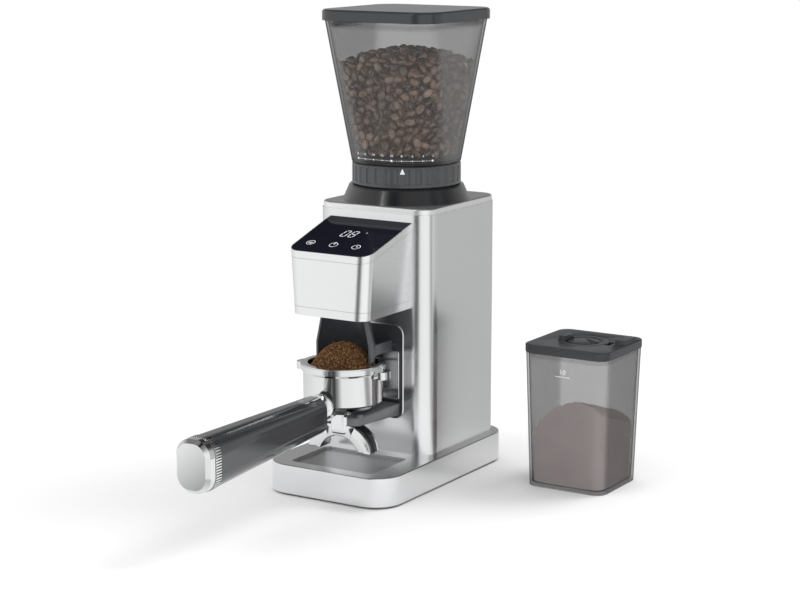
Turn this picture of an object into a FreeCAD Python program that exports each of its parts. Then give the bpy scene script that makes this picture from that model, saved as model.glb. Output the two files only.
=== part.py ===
"""Burr coffee grinder with a docked portafilter and a loose grounds container.

Millimetres. The origin is on the floor under the middle of the tower, +Z is up and the
front, where the portafilter handle points, faces -Y.
"""

import FreeCAD, Part
import math
import os

import Sketcher
from FreeCAD import Vector

SIZES = {
    # Clearances: between fixed pieces, round moving pieces, and round a shaft
    "fit_gap": 0.2,
    "run_gap": 0.3,
    "shaft_gap": 0.05,
    # Base: a pressed steel skirt on four feet
    "sheet_wall": 1.2,
    "foot_height": 2,
    "foot_radius": 9,
    "foot_stem": 3,
    "foot_inset": 19,
    "base_width": 126,
    "base_front": 139.5,
    "base_back": 72.5,
    "base_corner": 25,
    "base_height": 25,
    "base_edge": 1,
    "plate_wall": 3,
    "well_width": 83,
    "well_depth": 58,
    "well_corner": 5,
    "well_drop": 3.6,
    "well_front": 13,
    "tray_wall": 1,
    "tray_lip": 0.5,
    "gland_rise": 11,
    "gland_bore": 3.6,
    "gland_wall": 3,
    "gland_flange": 2.4,
    "gland_length": 13,
    # Tower and its top cover
    "tower_width": 114,
    "tower_depth": 123,
    "tower_corner": 16,
    "tower_height": 211.3,
    "tower_margin": 6,
    "cover_height": 5.2,
    "cover_inset": 0.8,
    "cover_edge": 1.6,
    "vent_count": 9,
    "vent_width": 56,
    "vent_slot": 2.4,
    "vent_pitch": 6.5,
    "vent_rise": 30,
    # Inner frame that carries the motor and the gearbox
    "frame_wall": 3,
    "frame_width": 100,
    "frame_depth": 98,
    "post_radius": 5,
    "post_inset": 11,
    "screw_radius": 1.6,
    "screw_head": 3.4,
    "screw_head_height": 2,
    "screw_depth": 11,
    # Bay: the insert on the tower front, its steel plate and the fork slot
    "bay_width": 64.4,
    "bay_foot": 0.6,
    "bay_high": 114.5,
    "bay_corner": 8,
    "bay_proud": 1.4,
    "bay_step": 0.7,
    "bay_step_rise": 99.5,
    "bay_plug": 6,
    "bay_lip": 2.4,
    "bay_plate_low": 50,
    "bay_plate_high": 92.4,
    "bay_plate_width": 59,
    "bay_plate_wall": 0.8,
    # Fork that holds the portafilter
    "fork_rise": 36.7,
    "fork_thick": 10,
    "fork_width": 60,
    "fork_gap": 35,
    "fork_reach": 68,
    "fork_root": 12,
    "fork_end": 5,
    "fork_nub": 2.4,
    "fork_nub_length": 5,
    "fork_nub_width": 3.4,
    "tongue_width": 44,
    "tongue_thick": 7,
    "tongue_length": 10,
    "socket_wall": 2,
    # Head: three steel bands under a slanted glass panel
    "bay_height": 130.2,
    "head_reach": 68.8,
    "head_low_band": 7.2,
    "head_front_height": 54.4,
    "head_top_band": 6.1,
    "head_width_top": 81.5,
    "head_width_low": 75,
    "head_corner": 11,
    "head_lip": 1,
    "head_ledge": 3.5,
    "panel_rise": 20.1,
    "glass_thick": 2.5,
    "board_width": 62,
    "board_depth": 46,
    "board_thick": 1.6,
    "board_inset": 9,
    "display_width": 32,
    "display_depth": 20,
    "display_thick": 6,
    "display_inset": 18,
    # Grounds path: duct in the head, half-round guard under it
    "duct_width": 28,
    "duct_wall": 1.6,
    "duct_tall": 18,
    "duct_drop": 12,
    "chute_depth": 26,
    "guard_radius_top": 21.5,
    "guard_radius": 27.4,
    "guard_waist": 27,
    "guard_wall": 1.8,
    "guard_gap": 1.8,
    "guard_arm_width": 3.5,
    "guard_arm_out": 21.8,
    "guard_arm_rise": 92.5,
    "guard_arm_height": 9,
    # Burr axis, burr chamber and grinding parts
    "axis_front": 3.5,
    "carrier_radius": 38,
    "chamber_wall": 3.5,
    "chamber_height": 66.3,
    "chamber_floor": 4,
    "outlet_width": 24,
    "outlet_rise": 8,
    "outlet_height": 13,
    "shaft_radius": 5,
    "bush_wall": 3,
    "bush_height": 6,
    "impeller_rise": 6,
    "impeller_radius": 35,
    "impeller_disc": 2,
    "fin_height": 8,
    "fin_length": 8,
    "fin_thick": 2,
    "fin_count": 4,
    "burr_hub": 10,
    "burr_radius": 24,
    "burr_top_radius": 19.7,
    "burr_height": 24,
    "burr_flutes": 12,
    "burr_flute_depth": 2.2,
    "burr_gap": 0.9,
    "ring_burr_radius": 30,
    "ring_burr_height": 18,
    "ring_burr_rise": 2,
    "ring_burr_teeth": 16,
    "nut_radius": 8,
    "nut_height": 5,
    # Collar, grind setting ring and hopper
    "cover_hole": 40,
    "collar_foot": 55.5,
    "collar_head": 50.4,
    "collar_height": 13.2,
    "collar_edge": 1.2,
    "ring_radius": 47.6,
    "ring_height": 19,
    "ring_edge": 1,
    "ring_flutes": 32,
    "ring_flute_radius": 5,
    "ring_flute_depth": 1.1,
    "ring_flute_foot": 3.4,
    "ring_flute_head": 2,
    "pointer_turn": 27.4,
    "hopper_gap": 0.9,
    "hopper_foot": 92.4,
    "hopper_foot_corner": 42,
    "hopper_width": 113,
    "hopper_corner": 20,
    "hopper_height": 121.8,
    "hopper_wall": 2.4,
    "neck_radius": 31.5,
    "neck_wall": 2.5,
    "neck_length": 15,
    "neck_flange": 4.5,
    "neck_flange_thick": 2,
    "guard_bar": 3,
    "bean_level": 82,
    "bean_crown": 13,
    "bean_crown_width": 56,
    "bean_gap": 0.4,
    "bean_lump": 9,
    "bean_lump_proud": 4,
    "bean_rows": 5,
    "bean_columns": 4,
    "bean_row_pitch": 15,
    "bean_top_ring": 25,
    "bean_top_count": 8,
    "lid_width": 117,
    "lid_corner": 21,
    "lid_height": 9.4,
    "lid_edge": 2.6,
    "lid_plug": 7,
    "lid_plug_wall": 2.2,
    "seal_thick": 1.4,
    "seal_height": 3,
    "seal_drop": 2,
    # Motor and gears
    "case_width": 92,
    "case_depth": 98,
    "case_corner": 10,
    "case_wall": 3,
    "case_height": 20,
    "case_lid": 3,
    "case_post": 5,
    "case_post_inset": 7,
    "gear_module": 1,
    "pinion_teeth": 12,
    "wheel_teeth": 40,
    "small_teeth": 14,
    "drive_teeth": 48,
    "gear_face": 6.5,
    "gear_step": 1.5,
    "gear_backlash": 0.35,
    "idler_turn": 60,
    "motor_turn": 190,
    "idler_pin_radius": 3,
    "motor_radius": 22,
    "motor_wall": 1.4,
    "motor_length": 66,
    "motor_bell": 5,
    "motor_shaft_radius": 2.5,
    "armature_radius": 15,
    "armature_length": 44,
    "armature_rise": 10,
    "power_board_width": 64,
    "power_board_height": 70,
    "power_board_rise": 24,
    "power_board_standoff": 3,
    "power_part_height": 4.5,
    # Portafilter
    "cup_front": 106,
    "cup_radius": 34,
    "cup_foot": 22,
    "cup_round": 9,
    "cup_height": 40.4,
    "cup_wall": 2.6,
    "cup_floor": 4,
    "rim_radius": 36.2,
    "rim_height": 4.2,
    "ear_reach": 45.6,
    "ear_width": 15,
    "ear_thick": 6.4,
    "ear_drop": 5.8,
    "basket_wall": 0.9,
    "basket_depth": 25,
    "basket_flange": 1,
    "heap_height": 18.6,
    "heap_clear": 0.8,
    "heap_shoulder": 22,
    "heap_shoulder_height": 8,
    "heap_crown": 11,
    "heap_crown_height": 15.6,
    "hex_radius": 11.5,
    "hex_height": 15,
    "spout_half": 31,
    "spout_tip": 12,
    "spout_neck": 9.5,
    "spout_height": 23,
    "spout_arch": 13,
    "spout_bend": 22.8,
    "spout_depth": 15,
    "spout_clear": 12,
    "neck_bar_radius": 8,
    "neck_bar_rise": 4,
    "grip_front": 38,
    "grip_nose": 6,
    "grip_nose_width": 18,
    "grip_nose_height": 23,
    "grip_front_width": 26,
    "grip_front_height": 32,
    "grip_front_corner": 11,
    "grip_end_width": 33,
    "grip_end_height": 43,
    "grip_end_corner": 14,
    "grip_length": 152,
    "grip_fall": 5,
    "knurl_length": 8,
    "knurl_proud": 0.5,
    "cap_length": 9,
    "cap_edge": 3,
    # Grounds container beside the grinder
    "can_right": 158.2,
    "can_back": 32.4,
    "can_width": 79.7,
    "can_depth": 77,
    "can_foot_width": 73.6,
    "can_foot_depth": 70,
    "can_corner": 10,
    "can_height": 118.4,
    "can_wall": 2.2,
    "can_floor": 3,
    "can_fill": 52,
    "can_fill_crown": 12,
    "can_lid_over": 0.7,
    "can_lid_height": 7.4,
    "can_lid_edge": 1.2,
    "can_lid_wall": 2.2,
    "can_plug": 5,
    "can_plug_gap": 0.8,
    "flap_radius": 22,
    "flap_thick": 2.6,
    "flap_ledge": 2.4,
    "flap_lug_width": 17,
    "flap_lug_reach": 6,
    "flap_lug_height": 4,
    "flap_ring": 16,
    "flap_ring_depth": 0.8,
    "notch_width": 13,
    "notch_reach": 5,
    "tab_width": 24,
    "tab_depth": 9,
    "tab_height": 4,
    "tab_back": 10,
}

TOP, FRONT, SIDE = "XY_Plane", "XZ_Plane", "YZ_Plane"
FULL_TURN, HALF_TURN = 360, 180
HEX_SIDES = 6
OVERRUN = 5  # how far a cutting shape runs past what it cuts

doc = FreeCAD.newDocument("coffee_grinder")
sheet = doc.addObject("Spreadsheet::Sheet", "Sizes")
for row, (alias, number) in enumerate(SIZES.items(), 1):
    sheet.set(f"A{row}", alias)
    sheet.set(f"B{row}", str(number))
    sheet.setAlias(f"B{row}", alias)
doc.recompute()


class Size:
    """A size worked out from the sheet: its expression and its present value."""

    def __init__(self, text, value):
        self.text = text
        self.value = value

    def __add__(self, other):
        other = as_size(other)
        return Size(f"({self.text} + {other.text})", self.value + other.value)

    def __sub__(self, other):
        other = as_size(other)
        return Size(f"({self.text} - {other.text})", self.value - other.value)

    def __mul__(self, other):
        other = as_size(other)
        return Size(f"({self.text} * {other.text})", self.value * other.value)

    def __truediv__(self, other):
        other = as_size(other)
        return Size(f"({self.text} / {other.text})", self.value / other.value)

    def __radd__(self, other):
        return as_size(other) + self

    def __rsub__(self, other):
        return as_size(other) - self

    def __rmul__(self, other):
        return as_size(other) * self

    def __rtruediv__(self, other):
        return as_size(other) / self

    def __neg__(self):
        return Size(f"(-{self.text})", -self.value)

    def cos(self):
        return Size(f"cos({self.text} * 1deg)", math.cos(math.radians(self.value)))

    def sin(self):
        return Size(f"sin({self.text} * 1deg)", math.sin(math.radians(self.value)))

    def root(self):
        return Size(f"sqrt({self.text})", math.sqrt(self.value))


def as_size(number):
    return number if isinstance(number, Size) else Size(f"({number})", float(number))


class SheetSizes:
    """The sheet's cells, each read by its alias as a Size."""

    def __getattr__(self, alias):
        return Size(f"Sizes.{alias}", float(sheet.get(alias)))


s = SheetSizes()


# Sketch and feature helpers

def bind(target, path, size):
    target.setExpression(path, as_size(size).text)


def new_body(name, x=0, y=0, z=0):
    body = doc.addObject("PartDesign::Body", name)
    body.AllowCompound = True
    bind(body, "Placement.Base.x", x)
    bind(body, "Placement.Base.y", y)
    bind(body, "Placement.Base.z", z)
    return body


def drawn(body, role, place, *outlines):
    """A sketch on one of the body's own planes, moved to a height, a y or an x."""
    sketch = body.newObject("Sketcher::SketchObject", f"{body.Name}_sketch")
    plane = next(p for p in body.Origin.OriginFeatures if p.Role == role)
    sketch.AttachmentSupport = [(plane, "")]
    sketch.MapMode = "FlatFace"
    bind(sketch, "AttachmentOffset.Base.z", -as_size(place) if role == FRONT else place)
    for outline in outlines:
        outline(sketch)
    return sketch


def hold(sketch, kind, size, *spot):
    """Hold one measure of a sketch to a size."""
    size = as_size(size)
    measure = Sketcher.Constraint(kind, *spot, size.value)
    measure.Name = f"{kind}_{sketch.ConstraintCount}"
    sketch.addConstraint(measure)
    bind(sketch, f"Constraints.{measure.Name}", size)


def arc_between(start, end, radius, turn):
    """The short arc from start to end that turns left (1) or right (-1)."""
    chord = end - start
    rise = math.sqrt(max(radius**2 - (chord.Length / 2) ** 2, 0))
    normal = Vector(-chord.y, chord.x, 0).normalize()
    centre = (start + end) / 2 + normal * rise * turn
    first, last = (start, end) if turn > 0 else (end, start)
    angles = [math.atan2(p.y - centre.y, p.x - centre.x) for p in (first, last)]
    return Part.ArcOfCircle(Part.Circle(centre, Vector(0, 0, 1), radius), *angles)


def outline(*points):
    """A closed line through points. A point's third value is the radius of an arc to the next."""

    def draw(sketch):
        first = sketch.GeometryCount
        count = len(points)
        spots = [Vector(as_size(p[0]).value, as_size(p[1]).value, 0) for p in points]
        ends = []
        for i, point in enumerate(points):
            start, end = spots[i], spots[(i + 1) % count]
            if len(point) == 2:
                sketch.addGeometry(Part.LineSegment(start, end), False)
                ends.append((1, 2))
            else:
                turn = point[3] if len(point) > 3 else 1
                sketch.addGeometry(arc_between(start, end, as_size(point[2]).value, turn), False)
                ends.append((1, 2) if turn > 0 else (2, 1))
        for i in range(count):
            following = (i + 1) % count
            sketch.addConstraint(Sketcher.Constraint(
                "Coincident", first + i, ends[i][1], first + following, ends[following][0]))
        for i, point in enumerate(points):
            hold(sketch, "DistanceX", point[0], -1, 1, first + i, ends[i][0])
            hold(sketch, "DistanceY", point[1], -1, 1, first + i, ends[i][0])
            if len(point) > 2:
                hold(sketch, "Radius", point[2], first + i)

    return draw


def disc(radius, x=0, y=0):
    """A full circle."""

    def draw(sketch):
        centre = Vector(as_size(x).value, as_size(y).value, 0)
        index = sketch.addGeometry(Part.Circle(centre, Vector(0, 0, 1), as_size(radius).value), False)
        hold(sketch, "DistanceX", x, -1, 1, index, 3)
        hold(sketch, "DistanceY", y, -1, 1, index, 3)
        hold(sketch, "Radius", radius, index)

    return draw


def rectangle(left, right, low, high):
    return outline((left, low), (right, low), (right, high), (left, high))


def rounded(left, right, low, high, corner):
    """A rectangle with four round corners."""
    return outline(
        (left + corner, low),
        (right - corner, low, corner),
        (right, low + corner),
        (right, high - corner, corner),
        (right - corner, high),
        (left + corner, high, corner),
        (left, high - corner),
        (left, low + corner, corner),
    )


def rounded_box(width, depth, corner, x=0, y=0):
    return rounded(x - width / 2, x + width / 2, y - depth / 2, y + depth / 2, corner)


def pad(body, sketch, length, away=False, middle=False):
    """Add material from a sketch: up from TOP, forwards from FRONT, to the right from SIDE."""
    feature = body.newObject("PartDesign::Pad", f"{body.Name}_pad")
    feature.Profile = sketch
    feature.Reversed = away
    feature.SideType = "Symmetric" if middle else "One side"
    bind(feature, "Length", length)
    return feature


def pocket(body, sketch, length, away=False, middle=False):
    """Cut material from a sketch: down from TOP, backwards from FRONT."""
    feature = body.newObject("PartDesign::Pocket", f"{body.Name}_pocket")
    feature.Profile = sketch
    feature.Reversed = away
    feature.SideType = "Symmetric" if middle else "One side"
    bind(feature, "Length", length)
    return feature


def turned(body, *points, angle=FULL_TURN):
    """Turn an outline of radius and height about the body's upright axis."""
    sketch = drawn(body, FRONT, 0, outline(*points))
    feature = body.newObject("PartDesign::Revolution", f"{body.Name}_turned")
    feature.Profile = sketch
    feature.ReferenceAxis = (sketch, ["V_Axis"])
    feature.Angle = angle
    return feature


def lofted(body, *sections, cut=False):
    """Join sections by straight walls, as material or as a cut."""
    kind = "PartDesign::SubtractiveLoft" if cut else "PartDesign::AdditiveLoft"
    feature = body.newObject(kind, f"{body.Name}_loft")
    feature.Profile = sections[0]
    feature.Sections = list(sections[1:])
    feature.Ruled = True
    return feature


def around(body, feature, sketch, count):
    """Repeat a feature evenly round the body's upright axis."""
    pattern = body.newObject("PartDesign::PolarPattern", f"{body.Name}_round")
    pattern.Originals = [feature]
    pattern.Axis = (sketch, ["N_Axis"])
    pattern.Angle = FULL_TURN
    bind(pattern, "Occurrences", count)
    body.Tip = pattern
    return pattern


def lump(body, radius, x, y, z):
    """A ball joined to the body, with its centre at a point."""
    ball = body.newObject("PartDesign::AdditiveSphere", f"{body.Name}_lump")
    bind(ball, "Radius", radius)
    bind(ball, "Placement.Base.x", x)
    bind(ball, "Placement.Base.y", y)
    bind(ball, "Placement.Base.z", z)
    return ball


def soften(body, base, height, radius):
    """Round the edges that lie at one height."""
    doc.recompute()
    level = as_size(height).value
    edges = [
        f"Edge{i}"
        for i, edge in enumerate(base.Shape.Edges, 1)
        if all(abs(vertex.Z - level) < Part.Precision.confusion() * 10 for vertex in edge.Vertexes)
    ]
    feature = body.newObject("PartDesign::Fillet", f"{body.Name}_soft")
    feature.Base = (base, edges)
    bind(feature, "Radius", radius)
    return feature


def combine(kind, name, base, tool):
    """A boolean of two objects: Part::Cut, Part::Common or Part::Fuse."""
    result = doc.addObject(kind, name)
    result.Base = base
    result.Tool = tool
    return result


def corners(x, y_low, y_high):
    return [(x, y_low), (x, y_high), (-x, y_low), (-x, y_high)]


# Levels and places that several pieces share, all from the sheet

base_bottom = s.foot_height
base_top = base_bottom + s.base_height
tower_top = base_top + s.tower_height
cover_top = tower_top + s.cover_height
collar_top = cover_top + s.collar_height
ring_bottom = collar_top + s.run_gap
ring_top = ring_bottom + s.ring_height
hopper_bottom = ring_top + s.hopper_gap
hopper_top = hopper_bottom + s.hopper_height
tower_front = -s.tower_depth / 2
tower_back = s.tower_depth / 2
axis_y = -s.axis_front
plate_top = base_bottom + s.plate_wall

chamber_top = cover_top - s.sheet_wall
chamber_bottom = chamber_top - s.chamber_height
case_top = chamber_bottom - s.case_lid
case_bottom = case_top - s.case_height
deck_bottom = case_bottom - s.frame_wall
chamber_bore = s.carrier_radius + s.run_gap
impeller_bottom = chamber_bottom + s.chamber_floor + s.impeller_rise
burr_bottom = impeller_bottom + s.impeller_disc + s.burr_hub
burr_top = burr_bottom + s.burr_height
carrier_bottom = burr_bottom + s.ring_burr_rise
ring_burr_top = carrier_bottom + s.ring_burr_height
throat_radius = s.neck_radius + s.run_gap
burr_slope = (s.burr_radius - s.burr_top_radius) / s.burr_height

wheel_bottom = case_bottom + s.case_wall + s.gear_step
wheel_top = wheel_bottom + s.gear_face
drive_bottom = wheel_top + s.gear_step
drive_top = drive_bottom + s.gear_face
drive_distance = (s.small_teeth + s.drive_teeth) * s.gear_module / 2
wheel_distance = (s.pinion_teeth + s.wheel_teeth) * s.gear_module / 2
idler_x = drive_distance * s.idler_turn.cos()
idler_y = axis_y + drive_distance * s.idler_turn.sin()
motor_x = idler_x + wheel_distance * s.motor_turn.cos()
motor_y = idler_y + wheel_distance * s.motor_turn.sin()
motor_bottom = deck_bottom - s.motor_length

head_bottom = base_top + s.bay_height
head_top = head_bottom + s.head_front_height
head_front = tower_front - s.head_reach
panel_slope = s.panel_rise / s.head_reach
head_taper = (s.head_width_top - s.head_width_low) / 2 / s.head_front_height

cup_y = -s.cup_front
fork_top = base_top + s.fork_rise + s.fork_thick
cup_bottom = fork_top + s.run_gap
rim_top = cup_bottom + s.cup_height
cup_bore = s.cup_radius - s.cup_wall
hex_bottom = cup_bottom - s.hex_height
spout_bottom = base_top + s.spout_clear
spout_top = spout_bottom + s.spout_height
grip_z = cup_bottom + s.neck_bar_rise
grip_start = cup_y - s.grip_front
grip_end = grip_start - s.grip_nose - s.grip_length
knurl_end = grip_end - s.knurl_length
grip_end_z = grip_z - s.grip_fall

tongue_low = fork_top - s.fork_thick / 2 - s.tongue_thick / 2
tongue_high = tongue_low + s.tongue_thick
bay_low = tongue_low - s.run_gap - s.socket_wall - s.bay_lip - s.bay_foot
bay_high = base_top + s.bay_high
bay_face = tower_front - s.bay_proud
guard_bottom = rim_top + s.guard_gap

can_lid_bottom = s.can_height + s.run_gap
can_lid_top = can_lid_bottom + s.can_lid_height
flap_bottom = can_lid_top - s.flap_thick - s.fit_gap


def base_outline(inset):
    half = s.base_width / 2 - inset
    return rounded(-half, half, inset - s.base_front, s.base_back - inset, s.base_corner - inset)


def tower_outline(inset):
    return rounded_box(s.tower_width - 2 * inset, s.tower_depth - 2 * inset, s.tower_corner - inset)


def feet_places():
    half = s.base_width / 2 - s.foot_inset
    return corners(half, s.foot_inset - s.base_front, s.base_back - s.foot_inset)


def post_places():
    half = s.frame_width / 2 - s.post_inset
    reach = s.frame_depth / 2 - s.post_inset
    return corners(half, -reach, reach)


def case_post_places():
    half = s.case_width / 2 - s.case_post_inset
    reach = s.case_depth / 2 - s.case_post_inset
    return corners(half, -reach, reach)


# Base: skirt, bottom plate, feet, screws, crumb tray and cord gland

def well_outline(inset):
    half = s.well_width / 2 - inset
    low = s.well_front - s.base_front
    return rounded(-half, half, low + inset, low + s.well_depth - inset, s.well_corner - inset)


def base_skirt():
    body = new_body("base_skirt")
    block = pad(body, drawn(body, TOP, base_bottom, base_outline(0)), s.base_height)
    soften(body, block, base_top, s.base_edge)
    inside = drawn(body, TOP, base_bottom, base_outline(s.sheet_wall))
    pocket(body, inside, s.base_height - s.sheet_wall, away=True)
    well_bottom = base_top - s.well_drop - s.sheet_wall
    well = drawn(body, TOP, well_bottom, well_outline(-s.sheet_wall))
    pad(body, well, s.well_drop)
    pocket(body, drawn(body, TOP, base_top, well_outline(0)), s.well_drop)
    shaft = tower_outline(s.sheet_wall + s.tower_margin)
    pocket(body, drawn(body, TOP, base_top, shaft), s.sheet_wall * 2)
    gland = disc(s.gland_bore + s.gland_wall + s.fit_gap, 0, base_bottom + s.gland_rise)
    pocket(body, drawn(body, FRONT, s.base_back, gland), s.sheet_wall * 2, away=True)
    return body


def base_plate():
    body = new_body("base_plate")
    edge = base_outline(s.sheet_wall + s.fit_gap)
    pad(body, drawn(body, TOP, base_bottom, edge), s.plate_wall)
    stems = [disc(s.foot_stem + s.fit_gap, x, y) for x, y in feet_places()]
    holes = [disc(s.screw_radius + s.fit_gap, x, y) for x, y in post_places()]
    pocket(body, drawn(body, TOP, plate_top, *stems, *holes), s.plate_wall)
    heads = [disc(s.screw_head + s.fit_gap, x, y) for x, y in post_places()]
    pocket(body, drawn(body, TOP, base_bottom, *heads), s.screw_head_height, away=True)
    return body


def rubber_feet():
    body = new_body("rubber_feet")
    pad(body, drawn(body, TOP, 0, *[disc(s.foot_radius, x, y) for x, y in feet_places()]), s.foot_height)
    stems = [disc(s.foot_stem, x, y) for x, y in feet_places()]
    pad(body, drawn(body, TOP, base_bottom, *stems), s.plate_wall)
    return body


def base_screws():
    body = new_body("base_screws")
    heads = [disc(s.screw_head, x, y) for x, y in post_places()]
    pad(body, drawn(body, TOP, base_bottom, *heads), s.screw_head_height)
    shanks = [disc(s.screw_radius, x, y) for x, y in post_places()]
    start = base_bottom + s.screw_head_height
    pad(body, drawn(body, TOP, start, *shanks), s.screw_depth - s.fit_gap)
    return body


def crumb_tray():
    body = new_body("crumb_tray")
    low = base_top - s.well_drop + s.run_gap
    height = s.well_drop - s.run_gap - s.tray_lip
    pad(body, drawn(body, TOP, low, well_outline(s.run_gap)), height)
    dish = well_outline(s.run_gap + s.tray_wall)
    pocket(body, drawn(body, TOP, low + height, dish), height - s.tray_wall)
    return body


def cable_gland():
    outer = s.gland_bore + s.gland_wall
    height = base_bottom + s.gland_rise
    body = new_body("cable_gland")
    flange = drawn(body, FRONT, s.base_back, disc(outer + s.gland_flange, 0, height))
    pad(body, flange, s.gland_flange, away=True)
    tube = drawn(body, FRONT, s.base_back, disc(outer, 0, height))
    pad(body, tube, s.gland_length)
    face = drawn(body, FRONT, s.base_back + s.gland_flange, disc(s.gland_bore, 0, height))
    pocket(body, face, s.gland_length + s.gland_flange, away=True)
    return body


# Tower: shell with its windows, top cover and the frame inside

def tower_shell():
    body = new_body("tower_shell")
    pad(body, drawn(body, TOP, base_top, tower_outline(0)), s.tower_height)
    pocket(body, drawn(body, TOP, tower_top, tower_outline(s.sheet_wall)), s.tower_height)
    half = s.bay_width / 2 - s.bay_lip
    bay = rectangle(-half, half, bay_low + s.bay_lip, bay_high - s.bay_lip)
    half = s.duct_width / 2 + s.fit_gap
    low, high = duct_levels(tower_front)
    duct = rectangle(-half, half, low - s.fit_gap, high + s.fit_gap)
    pocket(body, drawn(body, FRONT, tower_front, bay, duct), s.sheet_wall * 2)
    vent_low = base_top + s.vent_rise
    slots = [
        rectangle(-s.vent_width / 2, s.vent_width / 2, vent_low + i * s.vent_pitch,
                  vent_low + i * s.vent_pitch + s.vent_slot)
        for i in range(round(s.vent_count.value))
    ]
    pocket(body, drawn(body, FRONT, tower_back, *slots), s.sheet_wall * 2, away=True)
    return body


def top_cover():
    body = new_body("top_cover")
    block = pad(body, drawn(body, TOP, tower_top, tower_outline(s.cover_inset)), s.cover_height)
    soften(body, block, cover_top, s.cover_edge)
    inside = drawn(body, TOP, tower_top, tower_outline(s.cover_inset + s.sheet_wall))
    pocket(body, inside, s.cover_height - s.sheet_wall, away=True)
    pocket(body, drawn(body, TOP, cover_top, disc(s.cover_hole, 0, axis_y)), s.sheet_wall * 2)
    return body


def inner_frame():
    """Flange on the base, posts down to the bottom plate, three walls and a deck."""
    body = new_body("inner_frame")
    flange = tower_outline(s.sheet_wall + s.fit_gap)
    pad(body, drawn(body, TOP, base_top, flange), s.frame_wall)
    posts = [disc(s.post_radius, x, y) for x, y in post_places()]
    pad(body, drawn(body, TOP, plate_top, *posts), base_top - plate_top)
    half, reach = s.frame_width / 2, s.frame_depth / 2
    walls = outline(
        (-half, -reach), (s.frame_wall - half, -reach), (s.frame_wall - half, reach - s.frame_wall),
        (half - s.frame_wall, reach - s.frame_wall), (half - s.frame_wall, -reach), (half, -reach),
        (half, reach), (-half, reach),
    )
    wall_bottom = base_top + s.frame_wall
    pad(body, drawn(body, TOP, wall_bottom, walls), deck_bottom - wall_bottom)
    deck = rectangle(-half, half, -reach, reach)
    pad(body, drawn(body, TOP, deck_bottom, deck), s.frame_wall)
    shaft = disc(s.motor_shaft_radius * 2, motor_x, motor_y)
    pocket(body, drawn(body, TOP, case_bottom, shaft), s.frame_wall)
    screws = [disc(s.screw_radius + s.shaft_gap, x, y) for x, y in post_places()]
    pocket(body, drawn(body, TOP, plate_top, *screws), s.screw_depth, away=True)
    low = base_top + s.power_board_rise
    rows = (low + s.post_radius, low + s.power_board_height - s.post_radius)
    columns = (s.power_board_width / 2 - s.post_radius, s.post_radius - s.power_board_width / 2)
    studs = [disc(s.screw_head, x, z) for x in columns for z in rows]
    pad(body, drawn(body, FRONT, reach, *studs), s.power_board_standoff, away=True)
    return body


def power_board():
    body = new_body("power_board")
    face = s.frame_depth / 2 + s.power_board_standoff
    half = s.power_board_width / 2
    low = base_top + s.power_board_rise
    high = low + s.power_board_height
    pad(body, drawn(body, FRONT, face, rectangle(-half, half, low, high)), s.board_thick, away=True)
    parts = [
        rectangle(-half * 3 / 4, -half / 8, low + half / 4, low + half),
        rectangle(half / 8, half * 3 / 4, low + half / 4, low + half * 3 / 4),
        rectangle(-half * 3 / 4, half * 3 / 4, high - half * 3 / 4, high - half / 4),
    ]
    pad(body, drawn(body, FRONT, face + s.board_thick, *parts), s.power_part_height, away=True)
    return body


# Bay: moulded insert on the tower front, steel plate and sliding fork

def bay_frame():
    body = new_body("bay_frame")
    half = s.bay_width / 2
    panel = rounded(-half, half, bay_low, bay_high, s.bay_corner)
    pad(body, drawn(body, FRONT, tower_front, panel), s.bay_proud)
    step = base_top + s.bay_step_rise
    upper = rectangle(-half - OVERRUN, half + OVERRUN, step, bay_high + OVERRUN)
    pocket(body, drawn(body, FRONT, bay_face, upper), s.bay_step)
    inner = half - s.bay_lip - s.fit_gap
    edge = s.bay_lip + s.fit_gap
    plug = rectangle(-inner, inner, bay_low + edge, bay_high - edge)
    pad(body, drawn(body, FRONT, tower_front, plug), s.bay_plug, away=True)
    wall = s.socket_wall + s.run_gap
    side = s.tongue_width / 2 + wall
    socket = rectangle(-side, side, tongue_low - wall, tongue_high + wall)
    pad(body, drawn(body, FRONT, tower_front, socket), s.tongue_length + wall, away=True)
    side = s.tongue_width / 2 + s.run_gap
    slot = rectangle(-side, side, tongue_low - s.run_gap, tongue_high + s.run_gap)
    pocket(body, drawn(body, FRONT, bay_face, slot), s.bay_proud + s.tongue_length + s.run_gap)
    return body


def bay_plate():
    body = new_body("bay_plate")
    half = s.bay_plate_width / 2
    face = rectangle(-half, half, base_top + s.bay_plate_low, base_top + s.bay_plate_high)
    pad(body, drawn(body, FRONT, bay_face, face), s.bay_plate_wall)
    return body


def portafilter_fork():
    """Two arms with round ends, small nubs at their tips and a tongue in the bay's slot."""
    body = new_body("portafilter_fork")
    back = bay_face - s.run_gap
    root = back - s.fork_root
    tip = back - s.fork_reach
    half, gap, end = s.fork_width / 2, s.fork_gap / 2, s.fork_end
    plan = outline(
        (gap, tip + end, end), (gap + end, tip), (half - end, tip, end), (half, tip + end),
        (half, back), (-half, back), (-half, tip + end, end), (end - half, tip),
        (-gap - end, tip, end), (-gap, tip + end),
        (-gap, root - gap, gap, -1), (0, root, gap, -1), (gap, root - gap),
    )
    pad(body, drawn(body, TOP, fork_top - s.fork_thick, plan), s.fork_thick)
    inner = half - s.fork_nub_width
    front = tip + end
    nubs = [
        rectangle(inner, half, front, front + s.fork_nub_length),
        rectangle(-half, -inner, front, front + s.fork_nub_length),
    ]
    pad(body, drawn(body, TOP, fork_top, *nubs), s.fork_nub)
    tongue = rectangle(-s.tongue_width / 2, s.tongue_width / 2, tongue_low, tongue_high)
    length = s.tongue_length + s.bay_proud + s.run_gap
    pad(body, drawn(body, FRONT, back, tongue), length, away=True)
    return body


# Head: three bands cut from one tapering column, glass panel and electronics

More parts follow.
